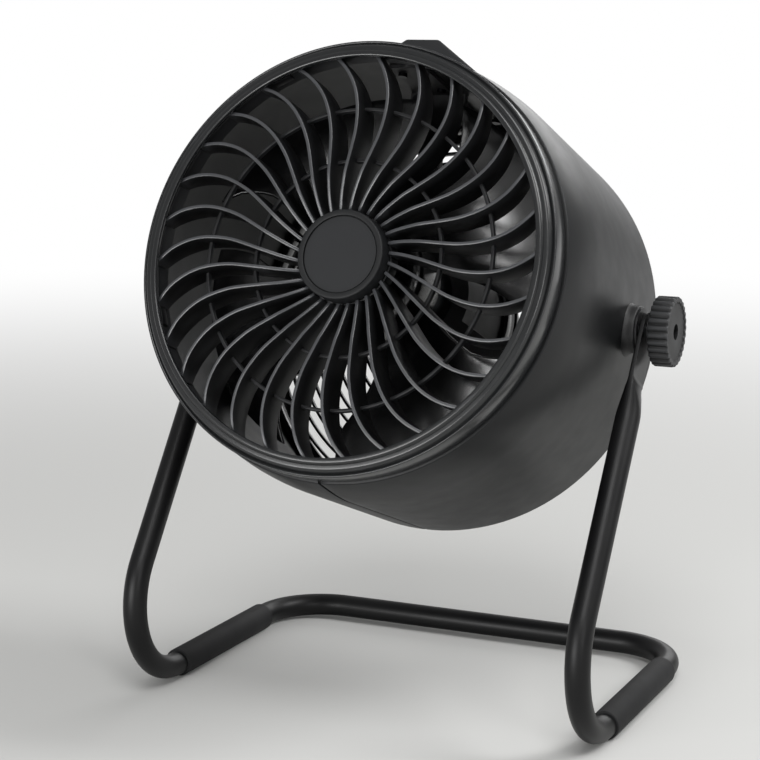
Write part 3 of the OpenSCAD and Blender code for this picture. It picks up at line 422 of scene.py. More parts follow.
def drumHalf(side):
    d = drum
    outer, inner = head["drumRadius"], head["drumRadius"] - d["wall"]
    points = [
        (d["neckOuter"], -d["neckFront"]),
        (d["neckOuter"], -d["front"]),
        (d["frontRadius"], -d["front"]),
        (outer, -d["flareEnd"]),
        (outer, -head["length"]),
        (d["rearOpening"], -head["length"]),
        (d["rearOpening"], -head["length"] + d["wall"]),
        (inner, -head["length"] + d["wall"]),
        (inner, -d["flareEnd"]),
        (d["frontRadius"] - d["wall"], -d["front"] - d["wall"]),
        (d["neckInner"], -d["front"] - d["wall"]),
        (d["neckInner"], -d["neckFront"]),
    ]
    rounds = {
        2: (d["shoulderRound"], 3),
        3: (d["flareRound"], 8),
        4: (d["rearRound"], 12),
        7: (d["rearRound"] - d["wall"], 8),
        11: (d["lipRound"], 2),
    }
    bm = lathe(points, rounds, steps=144)
    bmesh.ops.bisect_plane(
        bm,
        geom=bm.verts[:] + bm.edges[:] + bm.faces[:],
        plane_co=(side * d["seam"] / 2, 0, 0),
        plane_no=(side, 0, 0),
        clear_inner=True,
    )
    cut = [e for e in bm.edges if e.is_boundary]
    caps = bmesh.ops.edgenet_fill(bm, edges=cut)["faces"]
    bmesh.ops.recalc_face_normals(bm, faces=bm.faces)  # the caps turned like the walls
    around = dict.fromkeys(e for face in caps for e in face.edges)
    softenEdges(bm, list(around), d["seamRound"])
    return bm


for side, name in ((-1, "left"), (1, "right")):
    half = drumHalf(side)
    addPiece(name + "Shell", half, headPlace, "head", texturedAbs, [name + "_shell"])
print("drum made")

bezel = {
    "band": 15,
    "wall": 2.2,
    "face": [  # from the rim over a groove, two ridges and the lip round the opening
        (120, 0),
        (119, 0),
        (118.2, -0.8),
        (117.5, 0.4),
        (116.8, 2),
        (115.9, 2.5),
        (114, 2.6),
        (113.4, 3.9),
        (112.6, 4.35),
        (110.9, 4.45),
        (110.1, 4.1),
        (110, 1.6),
        (113.6, 1.3),
    ],
    "edgeRounds": {0: (0.4, 2), 1: (0.7, 4), 2: (0.3, 2), 12: (0.3, 2)},  # point to radius and steps
    "ridgePoints": (5, 6, 8, 9, 10, 11),
    "ridgeRound": (0.35, 3),
}


def bezelRing():
    b, outer = bezel, head["bezelRadius"]
    inside = outer - b["wall"]
    points = [(outer, -b["band"])] + b["face"] + [(inside, -b["wall"]), (inside, -b["band"])]
    rounds = b["edgeRounds"] | {i: b["ridgeRound"] for i in b["ridgePoints"]}
    return lathe(points, rounds, steps=192)


addPiece("frontBezel", bezelRing(), headPlace, "head", satinAbs, ["front_bezel"])

grille = {
    "ribs": 30,
    "ribThickness": 1.9,
    "ribSteps": 26,
    "ribRound": 0.45,
    "paleDepth": 0.6,  # how far behind the front line a rib gets the painted highlight
    "phase": 6,
    "turnRadius": 68,
    "sweepIn": 10,
    "powerIn": 1.6,
    "sweepOut": 10.7,
    "powerOut": 2.2,
    "coreRadius": 25.6,
    "openRadius": 114.5,
    "outerRadius": 114.9,
    "ribFrom": 25.2,
    "ribTo": 114.2,
    "frontLine": [  # radius, height
        (25, -3.5),
        (33.8, -0.6),
        (46.3, 2.4),
        (62.3, 3),
        (83.2, 2.7),
        (104.5, 1.4),
        (114.2, -0.4),
    ],
    "backLine": [(25, -19), (83.2, -19), (98.5, -17), (114.2, -13)],
    "rings": (54.3, 83.2),
    "ringDepth": (6, 9),
    "ringWidth": 2,
    "ringRounds": {1: (0.6, 3), 2: (0.6, 3)},
    "rimDepth": (5, 16),
    "rimWall": 1.7,
    "rimRounds": {1: (0.4, 2), 2: (0.6, 3)},
    "coreDepth": (8.2, 18),
    "coreRounds": {1: (1, 3), 2: (0.5, 2)},
}
cap = {
    "radius": 24.8,
    "rise": 3,
    "border": 3.4,
    "recess": 0.8,
    "groove": 0.6,
    "skirt": 8,
    "wall": 2,
    "rounds": {4: (0.5, 3), 5: (1, 4)},
}


def ribAngle(r):  # degrees; the sweep turns over at the turning radius
    g = grille
    if r < g["turnRadius"]:
        inward = (g["turnRadius"] - r) / (g["turnRadius"] - cap["radius"])
        return g["sweepIn"] * inward ** g["powerIn"]
    outward = (r - g["turnRadius"]) / (g["openRadius"] - g["turnRadius"])
    return g["sweepOut"] * outward ** g["powerOut"]


def oneRib():
    g = grille
    bm = bmesh.new()
    bmesh.ops.create_grid(bm, x_segments=g["ribSteps"], y_segments=2, size=1)
    for vert in bm.verts:
        r = g["ribFrom"] + (g["ribTo"] - g["ribFrom"]) * (vert.co.x + 1) / 2
        front, back = along(g["frontLine"], r), along(g["backLine"], r)
        depth = (back, (front + back) / 2, front)[round(vert.co.y) + 1]
        a = radians(ribAngle(r))
        vert.co = (r * cos(a), r * sin(a), depth)
    bm.normal_update()
    for vert in bm.verts:
        vert.co -= vert.normal * g["ribThickness"] / 2
    bmesh.ops.solidify(bm, geom=bm.faces[:], thickness=g["ribThickness"])
    bm.normal_update()
    long = []  # the edges that run along the rib, not across it
    for edge in sharpEdges(bm, 60):
        near, far = (v.co.xy.length for v in edge.verts)
        if abs(near - far) > 0.3:
            long.append(edge)
    softenEdges(bm, long, g["ribRound"])
    return bm


def grilleBody():
    g = grille
    ribs = oneRib()
    ribs.normal_update()
    for face in ribs.faces:  # the narrow front strip of a rib gets the paler material, a painted highlight
        middle = face.calc_center_median()
        strip = along(g["frontLine"], middle.xy.length) - g["paleDepth"]
        if abs(face.normal.z) > 0.5 and middle.z > strip:
            face.material_index = 1
    move(ribs, Matrix.Rotation(radians(g["phase"]), 4, "Z"))
    repeatAround(ribs, g["ribs"])
    front, back = g["ringDepth"]
    rings = []
    for r in g["rings"]:
        outer, inner = r + g["ringWidth"] / 2, r - g["ringWidth"] / 2
        outline = [(outer, -back), (outer, -front), (inner, -front), (inner, -back)]
        rings.append(lathe(outline, g["ringRounds"], steps=120))
    front, back = g["rimDepth"]
    outer, inner = g["outerRadius"], g["outerRadius"] - g["rimWall"]
    outline = [(outer, -back), (outer, -front), (inner, -front), (inner, -back)]
    rim = lathe(outline, g["rimRounds"])
    front, back = g["coreDepth"]
    outline = [(0, -back), (g["coreRadius"], -back), (g["coreRadius"], -front), (0, -front)]
    core = lathe(outline, g["coreRounds"], closed=False)
    return join(ribs, *rings, rim, core)


frontGrille = addPiece(
    "frontGrille", grilleBody(), headPlace, "head", grilleAbs, ["front_grille"]
)
# the paler material of the ribs' front strips: a painted highlight
frontGrille.data.materials.append(ribHighlightAbs)


def capDisc():  # a sunk disc inside a narrow border
    c = cap
    edge, floor = c["radius"] - c["border"], c["rise"] - c["recess"]
    outline = [
        (0, floor),
        (edge - c["groove"], floor),
        (edge - c["groove"], floor - c["groove"]),
        (edge, floor - c["groove"]),
        (edge, c["rise"]),
        (c["radius"], c["rise"]),
        (c["radius"], -c["skirt"]),
        (c["radius"] - c["wall"], -c["skirt"]),
        (c["radius"] - c["wall"], 0),
        (0, 0),
    ]
    return lathe(outline, c["rounds"], closed=False)


addPiece("centreCap", capDisc(), headPlace, "head", mattAbs, ["centre_cap"])

# dark blocks standing for the shade in the bezel's clip slots: painted shade
slotShade = {
    "angles": (80.6, 119, 200, 238, 320),
    "width": 11,
    "depth": (3.6, 9.6),
    "radius": 113.1,
    "height": 1.3,
    "round": 0.35,
}


def slotShadeBlocks():  # near-black blocks just inside the bezel's opening: painted shade in its clip slots
    h = slotShade
    bm = bmesh.new()
    front, back = h["depth"]
    for angle in h["angles"]:
        one = bmesh.new()
        bmesh.ops.create_cube(one, size=1)
        move(one, Matrix.Diagonal((h["height"], h["width"], back - front, 1)))
        softenEdges(one, sharpEdges(one), h["round"])
        place = Matrix.Translation((h["radius"] - h["height"] / 2, 0, -(front + back) / 2))
        move(one, Matrix.Rotation(radians(angle), 4, "Z") @ place)
        join(bm, one)
    return bm


# the near-black blocks in the clip slots: painted shade
addPiece("slotShadeBlocks", slotShadeBlocks(), headPlace, "head", blackAcetal, [])
print("front made")

fan = {
    "blades": 4,
    "front": 34,
    "back": 62,
    "thickness": 2.2,
    "steps": (24, 18),  # from root to tip, and along the chord
    "edgeRound": 0.8,
    "rootFlatter": 1.6,  # how much less the blade rises than the fan is deep, at its root
    "tipFlatter": 3,  # and how much less again at its tip
    "cup": 0.3,
    "hub": 33,
    "hubFront": 33,
    "hubLength": 30,
    "hubWall": 2.5,
    "hubFloor": 4,
    "hubRounds": {1: (5, 6), 2: (0.6, 2)},
    "bore": 4.1,
    "sleeve": 8,
    "sleeveBack": 50,
    "leading": [  # radius, degrees
        (31, -76),
        (50, -86),
        (62, -90),
        (70, -93),
        (77, -95.5),
        (85, -98),
        (96, -98),
        (105.8, -97),
    ],
    "trailing": [(31, -28), (50, -30), (62, -32), (77, -32), (85, -30), (96, -26), (105.8, -20)],
}


def fanBody():
    f = fan
    bm = bmesh.new()
    bmesh.ops.create_grid(bm, x_segments=f["steps"][0], y_segments=f["steps"][1], size=1)
    middle = (f["front"] + f["back"]) / 2
    root, tip = f["leading"][0][0], f["leading"][-1][0]
    for vert in bm.verts:
        share, chord = (vert.co.x + 1) / 2, vert.co.y  # the chord: -1 leading, 1 trailing
        r = root + (tip - root) * share
        first, last = along(f["leading"], r), along(f["trailing"], r)
        a = radians(first + (last - first) * (chord + 1) / 2)
        lift = (f["back"] - f["front"]) / 2 - f["rootFlatter"] - f["tipFlatter"] * share
        depth = middle - lift * (chord + f["cup"] * (chord * chord - 1))
        vert.co = (r * cos(a), r * sin(a), -depth)
    bmesh.ops.smooth_vert(bm, verts=[v for v in bm.verts if not v.is_boundary], factor=0.5)
    bmesh.ops.solidify(bm, geom=bm.faces[:], thickness=f["thickness"])
    softenEdges(bm, sharpEdges(bm, 60), f["edgeRound"], 3)
    repeatAround(bm, f["blades"])
    last, inner = f["hubFront"] + f["hubLength"], f["hub"] - f["hubWall"]
    outline = [
        (f["bore"], -f["hubFront"]),
        (f["hub"], -f["hubFront"]),
        (f["hub"], -last),
        (inner, -last),
        (inner, -f["hubFront"] - f["hubFloor"]),
        (f["sleeve"], -f["hubFront"] - f["hubFloor"]),
        (f["sleeve"], -f["sleeveBack"]),
        (f["bore"], -f["sleeveBack"]),
    ]
    return join(bm, lathe(outline, f["hubRounds"]))


addPiece("fanBlades", fanBody(), headPlace, "rotor", glossySan, ["fan_blades"])
print("fan made")

rear = {
    "front": 159,
    "back": 162,
    "rimFront": 158,
    "rimBack": 165,
    "rim": (118.2, 122.7),
    "hub": (36.2, 39.2),
    "rimRound": 0.6,
    "bar": 1.8,
    "barRound": 0.4,
    "bars": [111.2 - 6.15 * i for i in range(12)],
    "spokes": 8,
    "spokeWidth": 2.6,
    "spokeProud": 0.4,  # on either side of the bars
    "spokeRound": 0.4,
    "ears": 6,
    "earWidth": 9,
    "earFrom": 113.6,
    "earBack": 162,
    "earSink": 0.2,
    "earRound": 0.5,
    "overlap": 1,  # of spokes and ears with the rings they end in
}


def barRing(inner, outer, front, back, rounding):
    return lathe(
        [(outer, -back), (outer, -front), (inner, -front), (inner, -back)],
        {i: (rounding, 2) for i in range(4)},
        steps=120,
    )


def boxAt(low, high, rounding):
    bm = bmesh.new()
    bmesh.ops.create_cube(bm, size=1)
    low, high = Vector(low), Vector(high)
    move(bm, Matrix.Translation((low + high) / 2) @ Matrix.Diagonal((high - low).to_4d()))
    softenEdges(bm, sharpEdges(bm), rounding)
    return bm


def rearBody():
    q = rear
    half = q["bar"] / 2
    bars = [barRing(r - half, r + half, q["front"], q["back"], q["barRound"]) for r in q["bars"]]
    rim = barRing(*q["rim"], q["rimFront"], q["rimBack"], q["rimRound"])
    hub = barRing(*q["hub"], q["rimFront"], q["rimBack"], q["rimRound"])
    wide, far = q["spokeWidth"] / 2, q["rim"][0] + q["overlap"]
    low = (q["hub"][1] - q["overlap"], -wide, -q["back"] - q["spokeProud"])
    spokes = boxAt(low, (far, wide, -q["front"] + q["spokeProud"]), q["spokeRound"])
    move(spokes, Matrix.Rotation(pi / q["spokes"], 4, "Z"))
    repeatAround(spokes, q["spokes"])
    wide = q["earWidth"] / 2
    low = (q["earFrom"], -wide, -q["earBack"])
    ears = boxAt(low, (far, wide, -q["rimFront"] - q["earSink"]), q["earRound"])
    repeatAround(ears, q["ears"])
    return join(rim, hub, spokes, ears, *bars)


addPiece("rearGrille", rearBody(), headPlace, "head", satinAbs, ["rear_grille"])

cover = {
    "radius": 36,
    "front": 182,
    "back": 190.4,
    "dish": 1.2,
    "dishFloor": 9,  # from the edge to where the dish's floor and its border begin
    "dishEdge": 10.5,
    "wall": 2.2,
    "inside": 4,
    "rounds": {1: (0.6, 2), 2: (0.6, 2), 3: (2, 5)},
}


def coverDisc():
    c = cover
    radius, front, back = c["radius"], -c["front"], -c["back"]
    outline = [
        (0, back + c["dish"]),
        (radius - c["dishFloor"], back + c["dish"]),
        (radius - c["dishEdge"], back),
        (radius, back),
        (radius, front),
        (radius - c["wall"], front),
        (radius - c["wall"], front - c["inside"]),
        (0, front - c["inside"]),
    ]
    return lathe(outline, c["rounds"], closed=False)


addPiece("batteryCover", coverDisc(), headPlace, "head", texturedAbs, ["battery_cover"])

screwHead = {  # shares of the head's radius, heights of its height
    "crown": 0.62,
    "shoulder": 0.8,
    "shoulderHeight": 0.85,
    "shoulderRound": 0.2,
    "arm": 0.52,
    "slot": 0.15,
    "recess": 0.7,
    "recessTaper": 0.7,
}


def crossScrew(radius, height, shank, length):  # head on +Z with a cross recess, shank below
    s = screwHead
    outline = [
        (radius * s["crown"], height),
        (radius * s["shoulder"], height * s["shoulderHeight"]),
        (radius, 0),
        (shank, 0),
        (shank, -length),
        (0, -length),
    ]
    bm = lathe(outline, {1: (s["shoulderRound"], 2)}, closed=False, steps=24)
    arm, half = radius * s["arm"], radius * s["slot"]
    outline = [
        (arm, half), (half, half), (half, arm), (-half, arm), (-half, half), (-arm, half),
        (-arm, -half), (-half, -half), (-half, -arm), (half, -arm), (half, -half), (arm, -half),
    ]
    verts = [bm.verts.new((x, y, height)) for x, y in outline]
    cross = [bm.edges.new((a, b)) for a, b in zip(verts, verts[1:] + verts[:1])]
    rim = [e for e in bm.edges if e.is_boundary and all(abs(v.co.z - height) < 1e-6 for v in e.verts)]
    bmesh.ops.bridge_loops(bm, edges=rim + cross)
    floor = bmesh.ops.extrude_edge_only(bm, edges=cross)["geom"]
    low = [g for g in floor if isinstance(g, bmesh.types.BMVert)]
    bmesh.ops.translate(bm, verts=low, vec=(0, 0, -height * s["recess"]))
    for vert in low:
        vert.co.xy *= s["recessTaper"]
    bmesh.ops.contextual_create(bm, geom=[g for g in floor if isinstance(g, bmesh.types.BMEdge)])
    return bm


def screwRing(circle, count, phase, top, radius, height, shank, length):
    bm = crossScrew(radius, height, shank, length)
    out = Matrix.Translation((circle, 0, top)) @ Matrix.Rotation(pi, 4, "X")
    move(bm, Matrix.Rotation(radians(phase), 4, "Z") @ out)
    repeatAround(bm, count)
    return bm


rearScrews = {
    "circle": 117.35,
    "count": rear["ears"],
    "phase": 0,
    "top": -rear["earBack"],
    "radius": 2.7,
    "height": 2.1,
    "shank": 1.5,
    "length": 10,
}
screws = screwRing(**rearScrews)
addPiece("rearGrilleScrews", screws, headPlace, "head", zincSteel, ["rear_grille_screws"])

coverScrews = {
    "circle": 31,
    "count": 3,
    "phase": 30,
    "top": -cover["back"],
    "radius": 3,
    "height": 1.5,
    "shank": 1.5,
    "length": 17,
}
screws = screwRing(**coverScrews)
addPiece("coverScrews", screws, headPlace, "head", zincSteel, ["cover_screws"])
print("rear made")

controls = {
    "front": 62,
    "length": 90,
    "topHalf": 10,
    "top": 143,
    "footHalf": 46.2,
    "footHeight": 116.7,
    "sideGap": 0.4,
    "drumGap": 0.1,
    "arcSteps": 16,
    "edgeRound": 1.2,
    "buttonDepths": (84, 106),
}


def housingBody():
    c = controls
    bm = bmesh.new()
    under = head["drumRadius"] - drum["wall"] + c["drumGap"]
    half, steps = c["footHalf"] - c["sideGap"], c["arcSteps"]
    arc = []
    for i in range(steps + 1):
        x = half - i * 2 * half / steps
        arc.append((x, sqrt(under * under - x * x)))
    outline = [(-c["topHalf"], c["top"]), (c["topHalf"], c["top"]), (c["footHalf"], c["footHeight"])]
    outline += arc + [(-c["footHalf"], c["footHeight"])]
    verts = [bm.verts.new((x, y, -c["front"])) for x, y in outline]
    face = bm.faces.new(verts)
    solid = bmesh.ops.extrude_face_region(bm, geom=[face])["geom"]
    moved = [g for g in solid if isinstance(g, bmesh.types.BMVert)]
    bmesh.ops.translate(bm, verts=moved, vec=(0, 0, -c["length"]))
    bmesh.ops.recalc_face_normals(bm, faces=bm.faces)
    shown = []  # the edges that stand clear of the drum
    for edge in sharpEdges(bm, 20):
        if max(v.co.xy.length for v in edge.verts) > under + drum["wall"]:
            shown.append(edge)
    softenEdges(bm, shown, c["edgeRound"], 4)
    return bm


def keyPlace(depth):  # in the head's frame, with Z away from its axis and Y towards the front
    return Matrix.Translation((0, controls["top"], -depth)) @ Matrix.Rotation(-pi / 2, 4, "X")


collar = {
    "outline": [(8.4, -0.5), (8.0, 0.7), (6.9, 0.7), (6.9, -0.5)],
    "rounds": {1: (0.3, 3), 2: (0.2, 2)},
}
housing = housingBody()
for depth in controls["buttonDepths"]:  # a raised collar round each key
    join(housing, move(lathe(collar["outline"], collar["rounds"], steps=64), keyPlace(depth)))
addPiece("controlHousing", housing, headPlace, "head", satinAbs, ["control_housing"])

key = {
    "outline": [(0, 1.4), (5.4, 1.15), (6.5, 0.7), (6.5, -3.2), (0, -3.2)],
    "rounds": {1: (1.5, 3), 2: (0.4, 2)},
}
for name, depth in zip(("power", "speed"), controls["buttonDepths"]):
    keyCap = lathe(key["outline"], key["rounds"], closed=False, steps=64)
    place, body = headPlace @ keyPlace(depth), name + "_button_body"
    addPiece(name + "Key", keyCap, place, body, satinKey, [name + "_button"])
print("controls made")

stand = {
    "tube": 7,
    "sides": 40,
    "legX": 135,
    "frontReach": 152,
    "rearReach": 96,
    "frontBend": 46,
    "frontSteps": 26,
    "rearBend": 40,
    "rearSteps": 18,
    "height": 8,
    "flatThickness": 5,
    "flatWidth": 20,
    "flatLength": 30,
    "flatSquare": 0.55,  # 0 leaves the flat end oval, 1 makes it a box
    "blend": 26,
    "blendSteps": 8,
    "tipSteps": 8,
    "tipEnd": 0.05,
}
pivotY, pivotZ = pivot.y / mm, pivot.z / mm
legAngle = atan2(pivotZ - stand["height"], stand["frontReach"])
legLength = hypot(pivotZ - stand["height"], stand["frontReach"])
bendRun = stand["frontBend"] / tan(legAngle / 2)  # from the front corner to where its bend begins


def run(bm, ring, vec):
    grown = bmesh.ops.extrude_edge_only(bm, edges=ring)["geom"]
    verts = [g for g in grown if isinstance(g, bmesh.types.BMVert)]
    bmesh.ops.translate(bm, verts=verts, vec=vec)
    edges = [g for g in grown if isinstance(g, bmesh.types.BMEdge)]
    return [edge for edge in edges if all(v in verts for v in edge.verts)]


def ringVerts(ring):
    return list(dict.fromkeys(v for edge in ring for v in edge.verts))


def bend(bm, ring, centre, axis, angle, steps):
    geom = ringVerts(ring) + ring
    swept = bmesh.ops.spin(bm, geom=geom, cent=centre, axis=axis, angle=angle, steps=steps)
    return [g for g in swept["geom_last"] if isinstance(g, bmesh.types.BMEdge)]


def standTube():
    s = stand
    x, y0 = s["legX"], pivotY - s["frontReach"]
    up = Vector((0, cos(legAngle), sin(legAngle)))  # from the front corner towards the pivot
    bm = bmesh.new()
    bmesh.ops.create_circle(bm, segments=s["sides"], radius=s["tube"])
    middle = Vector((0, pivotY + s["rearReach"], s["height"]))
    move(bm, Matrix.Translation(middle) @ Matrix.Rotation(pi / 2, 4, "Y"))
    ring = run(bm, bm.edges[:], (x - s["rearBend"], 0, 0))
    back = pivotY + s["rearReach"] - s["rearBend"]
    centre = (x - s["rearBend"], back, s["height"])
    ring = bend(bm, ring, centre, (0, 0, 1), -pi / 2, s["rearSteps"])
    ring = run(bm, ring, (0, -(back - y0 - bendRun), 0))
    centre = (x, y0 + bendRun, s["height"] + s["frontBend"])
    ring = bend(bm, ring, centre, (1, 0, 0), -(pi - legAngle), s["frontSteps"])
    ring = run(bm, ring, up * (legLength - s["flatLength"] - s["blend"] - bendRun))
    normal = Vector((0, -up.z, up.y))  # across the leg, in its own plane
    steps = s["blendSteps"]
    for share in [i / steps for i in range(1, steps + 1)]:  # the tube is pressed flat towards the pivot
        ring = run(bm, ring, up * s["blend"] / steps)
        eased = share * share * (3 - 2 * share)
        verts = ringVerts(ring)
        centre = sum((v.co for v in verts), Vector()) / len(verts)
        thick = s["tube"] + (s["flatThickness"] / 2 - s["tube"]) * eased
        wide = s["tube"] + (s["flatWidth"] / 2 - s["tube"]) * eased
        for vert in verts:
            off = vert.co - centre
            a = atan2(off.dot(normal), off.x)
            power = 1 - s["flatSquare"] * eased
            flatX = thick * abs(cos(a)) ** power * (1 if cos(a) >= 0 else -1)
            flatY = wide * abs(sin(a)) ** power * (1 if sin(a) >= 0 else -1)
            vert.co = centre + Vector((flatX, 0, 0)) + normal * flatY
    ring = run(bm, ring, up * s["flatLength"])
    steps = s["tipSteps"]
    for i in range(1, steps + 1):  # the end is rounded like a tongue
        a = pi / 2 * i / steps
        before = pi / 2 * (i - 1) / steps
        ring = run(bm, ring, up * (sin(a) - sin(before)) * s["flatWidth"] / 2)
        verts = ringVerts(ring)
        centre = sum((v.co for v in verts), Vector()) / len(verts)
        shrink = max(cos(a), s["tipEnd"]) / max(cos(before), s["tipEnd"])
        for vert in verts:
            off = vert.co - centre
            vert.co -= normal * off.dot(normal) * (1 - shrink)
    bmesh.ops.edgenet_fill(bm, edges=ring)
    bmesh.ops.mirror(bm, geom=bm.verts[:] + bm.edges[:] + bm.faces[:], axis="X", merge_dist=0.001)
    bmesh.ops.remove_doubles(bm, verts=bm.verts, dist=0.001)
    return bm


addPiece("standTube", standTube(), toMetres, "stand", blackPowder, ["stand_tube"])

foot = {"wall": 1.4, "grip": 0.2, "rounds": {0: (0.9, 4), 1: (0.9, 4)}}


def feet():  # a rubber sleeve along each side rail, flat where it rests on the floor
    f, s = foot, stand
    start, end = (corner[1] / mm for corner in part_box("rubber_feet"))
    inner, outer, half = s["tube"] - f["grip"], s["tube"] + f["wall"], (end - start) / 2
    bm = lathe([(outer, half), (outer, -half), (inner, -half), (inner, half)], f["rounds"], steps=64)
    move(bm, Matrix.Translation((0, (start + end) / 2, s["height"])) @ Matrix.Rotation(pi / 2, 4, "X"))
    everything = bm.verts[:] + bm.edges[:] + bm.faces[:]
    bmesh.ops.bisect_plane(bm, geom=everything, plane_co=(0, 0, 0), plane_no=(0, 0, 1), clear_inner=True)
    bmesh.ops.edgenet_fill(bm, edges=[e for e in bm.edges if e.is_boundary])
    other = move(bm.copy(), Matrix.Translation((s["legX"], 0, 0)))
    move(bm, Matrix.Translation((-s["legX"], 0, 0)))
    return join(bm, other)


addPiece("rubberFeet", feet(), toMetres, "stand", rubber, ["rubber_feet"])
print("stand made")

boss = {
    "radius": 13.5,
    "face": 131.2,
    "back": 118,
    "flange": 4,
    "flangeFace": 122.2,
    "neck": 126.5,
    "bore": 5,
    "rounds": {3: (1.6, 4), 4: (1.0, 4)},
}


def bossBody():
    b = boss
    wide = b["radius"] + b["flange"]
    outline = [
        (b["bore"], b["back"]),
        (wide, b["back"]),
        (wide, b["flangeFace"]),
        (b["radius"], b["neck"]),
        (b["radius"], b["face"]),
        (b["bore"], b["face"]),
    ]
    return lathe(outline, b["rounds"])


knob = {
    "radius": 19.3,
    "back": 140.8,
    "flutes": 28,
    "fluteSteps": 8,
    "fluteDepth": 0.055,
    "fluteShape": 1.6,
    "profile": [  # each step's rise, and what it multiplies the outline by
        (0.35, 1.018),
        (0.65, 1.01),
        (9.5, 1),
        (0.6, 0.99),
        (0.4, 0.975),
        (0, 0.9),
        (-0.6, 0.965),
    ],
    "hole": 4.5,
    "holeDepth": 4.4,
    "collar": 10,
    "collarBack": 137.8,
    "collarBore": 4.2,
}


def knobBody():
    k = knob
    bm = bmesh.new()
    bmesh.ops.create_circle(bm, segments=k["flutes"] * k["fluteSteps"], radius=k["radius"])
    for vert in bm.verts:
        a = atan2(vert.co.y, vert.co.x) * k["flutes"]
        vert.co.xy *= 1 - k["fluteDepth"] * (0.5 - 0.5 * cos(a)) ** k["fluteShape"]
    bmesh.ops.translate(bm, verts=bm.verts, vec=(0, 0, k["back"]))

    def stepTo(ring, radius):  # level, to a circle
        ring = run(bm, ring, (0, 0, 0))
        for vert in ringVerts(ring):
            vert.co.xy = vert.co.xy.normalized() * radius
        return ring

    first = ring = bm.edges[:]
    for rise, scale in k["profile"]:
        ring = run(bm, ring, (0, 0, rise))
        for vert in ringVerts(ring):
            vert.co.xy *= scale
    ring = stepTo(ring, k["hole"])
    ring = run(bm, ring, (0, 0, -k["holeDepth"]))
    stepTo(ring, k["hole"] * 0.001)
    ring = stepTo(first, k["collar"])
    ring = run(bm, ring, (0, 0, k["collarBack"] - k["back"]))
    stepTo(ring, k["collarBore"])
    bmesh.ops.remove_doubles(bm, verts=bm.verts, dist=0.03)  # closes the hole's floor
    return bm


for side, name in ((-1, "left"), (1, "right")):
    place = pivotPlace(side)
    addPiece(name + "Boss", bossBody(), place, "head", glassNylon, [name + "_pivot_boss"])
    body = name + "_knob_body"
    addPiece(name + "Knob", knobBody(), place, body, softTouch, [name + "_knob"])
print("pivots and knobs made")

keptFinish = {
    "left_washer": blackAcetal,
    "right_washer": blackAcetal,
    "left_stud": zincSteel,
    "right_stud": zincSteel,
    "left_insert": turnedBrass,
    "right_insert": turnedBrass,
    "joint_strips": glassNylon,
    "strip_screws": blackenedSteel,
    "cap_screw": zincSteel,
    "motor_mount": glassNylon,
    "mount_screws": blackenedSteel,
    "motor_can": platedSheet,
    "motor_end_plate": platedSheet,
    "motor_screws": blackenedSteel,
    "motor_stator": siliconSteel,
    "motor_windings": enamelCopper,
    "front_bearing": groundSteel,
    "rear_bearing": groundSteel,
    "motor_shaft": groundSteel,
    "rotor_core": siliconSteel,
    "shaft_nut": zincSteel,
    "battery_case": glassNylon,
    "case_screws": blackenedSteel,
    "cell_holders": naturalNylon,
    "battery_cells": shrinkSleeve,
    "cell_straps": nickelStrip,
    "battery_board": solderMask,
    "control_screws": blackenedSteel,
    "control_board": solderMask,
    "button_switches": glassNylon,
    "charge_lights": milkyGuide,
    "charging_port": groundSteel,
    "wire_loom": siliconeSleeve,
}
for name, material in keptFinish.items():
    nodes[name].material_slots[0].material = material
print("finishes set")


ground = {
    "size": 30,  # m, half the side
    "tone": "c8c8c6",
    "fadeFrom": 0.35,  # m from the middle
    "fadeTo": 2.2,
}


def floorMaterial():  # pale near the object, fading into the white surroundings far away
    material, tree, shader = newMaterial("paleFloor", Roughness=0.9)
    shader.inputs["Base Color"].default_value = hexColour(ground["tone"])
    place = addNode(tree, "ShaderNodeTexCoord", {}).outputs["Object"]
    distance = addNode(tree, "ShaderNodeVectorMath", {0: place}, operation="LENGTH").outputs["Value"]
    inputs = {"Value": distance, "From Min": ground["fadeFrom"], "From Max": ground["fadeTo"]}
    far = addNode(tree, "ShaderNodeMapRange", inputs, interpolation_type="SMOOTHSTEP").outputs[0]
    glow = addNode(tree, "ShaderNodeEmission", {"Color": (1, 1, 1, 1), "Strength": 1.0}).outputs[0]
    paths = addNode(tree, "ShaderNodeLightPath", {}).outputs
    seen = paths["Is Camera Ray"]
    for kind in ("Is Glossy Ray", "Is Transmission Ray"):
        seen = addNode(tree, "ShaderNodeMath", {0: seen, 1: paths[kind]}, operation="MAXIMUM").outputs[0]
    share = addNode(tree, "ShaderNodeMath", {0: far, 1: seen}, operation="MULTIPLY").outputs[0]
    mixed = addNode(tree, "ShaderNodeMixShader", {0: share, 1: shader.outputs[0], 2: glow}).outputs[0]
    tree.links.new(mixed, tree.nodes["Material Output"].inputs["Surface"])
    return material


floorMesh = bmesh.new()
bmesh.ops.create_grid(floorMesh, x_segments=2, y_segments=2, size=ground["size"])
floorData = bpy.data.meshes.new("floor")
floorMesh.to_mesh(floorData)
floorMesh.free()
floorData.materials.append(floorMaterial())
floor = bpy.data.objects.new("floor", floorData)
bpy.context.scene.collection.objects.link(floor)

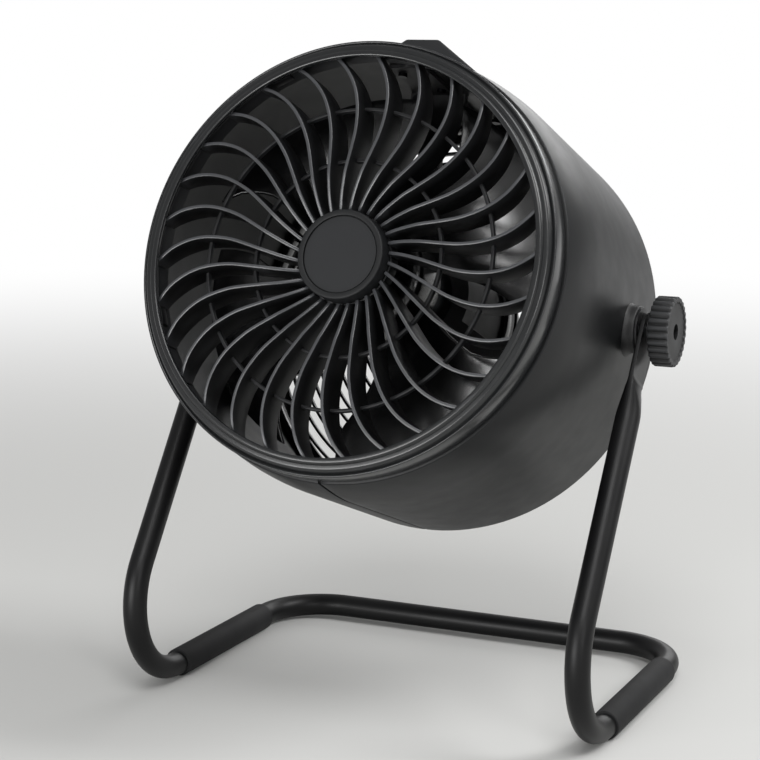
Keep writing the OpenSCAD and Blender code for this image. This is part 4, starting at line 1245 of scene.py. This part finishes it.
studio = {
    "worldLevel": 0.35,  # as light; the camera sees it white
    "lamps": [  # name, place, aim, width, height, power
        ("key", (0.5, -1.3, 2.1), (0, 0, 0.2), 1.1, 1.1, 25),
        ("rim", (1.5, 0.5, 1.6), (0, 0, 0.25), 0.7, 1.0, 27),
        ("fill", (-0.52, -1.9, 0.32), (0, 0, 0.25), 1.1, 0.6, 20),
        ("side", (1.7, -1.7, 1.0), (0, 0, 0.25), 0.5, 0.9, 9),
        ("sky", (0.1, 2.4, 1.1), (0, 0, 0.3), 1.6, 0.8, 13),
    ],
}
world = bpy.data.worlds.new("studio")
bpy.context.scene.world = world
world.use_nodes = True
sky = world.node_tree
paths = addNode(sky, "ShaderNodeLightPath", {}).outputs
inputs = {0: paths["Is Camera Ray"], 1: paths["Is Transmission Ray"]}
seen = addNode(sky, "ShaderNodeMath", inputs, operation="MAXIMUM").outputs[0]
inputs = {"Value": seen, "To Min": studio["worldLevel"], "To Max": 1.0}
level = addNode(sky, "ShaderNodeMapRange", inputs).outputs[0]
backdrop = sky.nodes["Background"]
backdrop.inputs["Color"].default_value = (1, 1, 1, 1)
sky.links.new(level, backdrop.inputs["Strength"])

for name, place, aim, width, height, power in studio["lamps"]:
    lamp = bpy.data.lights.new(name, "AREA")
    lamp.shape = "RECTANGLE"
    lamp.size, lamp.size_y, lamp.energy = width, height, power
    holder = bpy.data.objects.new(name, lamp)
    holder.location = place
    holder.visible_camera = False
    holder.rotation_euler = (Vector(aim) - Vector(place)).to_track_quat("-Z", "Y").to_euler()
    bpy.context.scene.collection.objects.link(holder)

camera = {
    "azimuth": 24.12,
    "elevation": 9.80,
    "distance": 1.22786,
    "aimHeight": 0.19,
    "slide": (-0.02636, -0.00769),
    "roll": 0.34,
    "lens": 98.64,
}
az, el, roll = (radians(camera[k]) for k in ("azimuth", "elevation", "roll"))
outward = Vector((sin(az) * cos(el), -cos(az) * cos(el), sin(el)))
levelRight = Vector((cos(az), sin(az), 0))
levelUp = outward.cross(levelRight)
eye = Vector((0, pivot.y, camera["aimHeight"])) + outward * camera["distance"]
eye += levelRight * camera["slide"][0] + levelUp * camera["slide"][1]
viewRight = cos(roll) * levelRight + sin(roll) * levelUp
viewUp = -sin(roll) * levelRight + cos(roll) * levelUp
cameraData = bpy.data.cameras.new("camera")
cameraData.lens = camera["lens"]
cameraObject = bpy.data.objects.new("camera", cameraData)
turn = Matrix((viewRight, viewUp, outward)).transposed().to_4x4()
cameraObject.matrix_world = Matrix.Translation(eye) @ turn
bpy.context.scene.collection.objects.link(cameraObject)
bpy.context.scene.camera = cameraObject
bpy.context.scene.view_settings.view_transform = "Standard"
print("light and camera set")
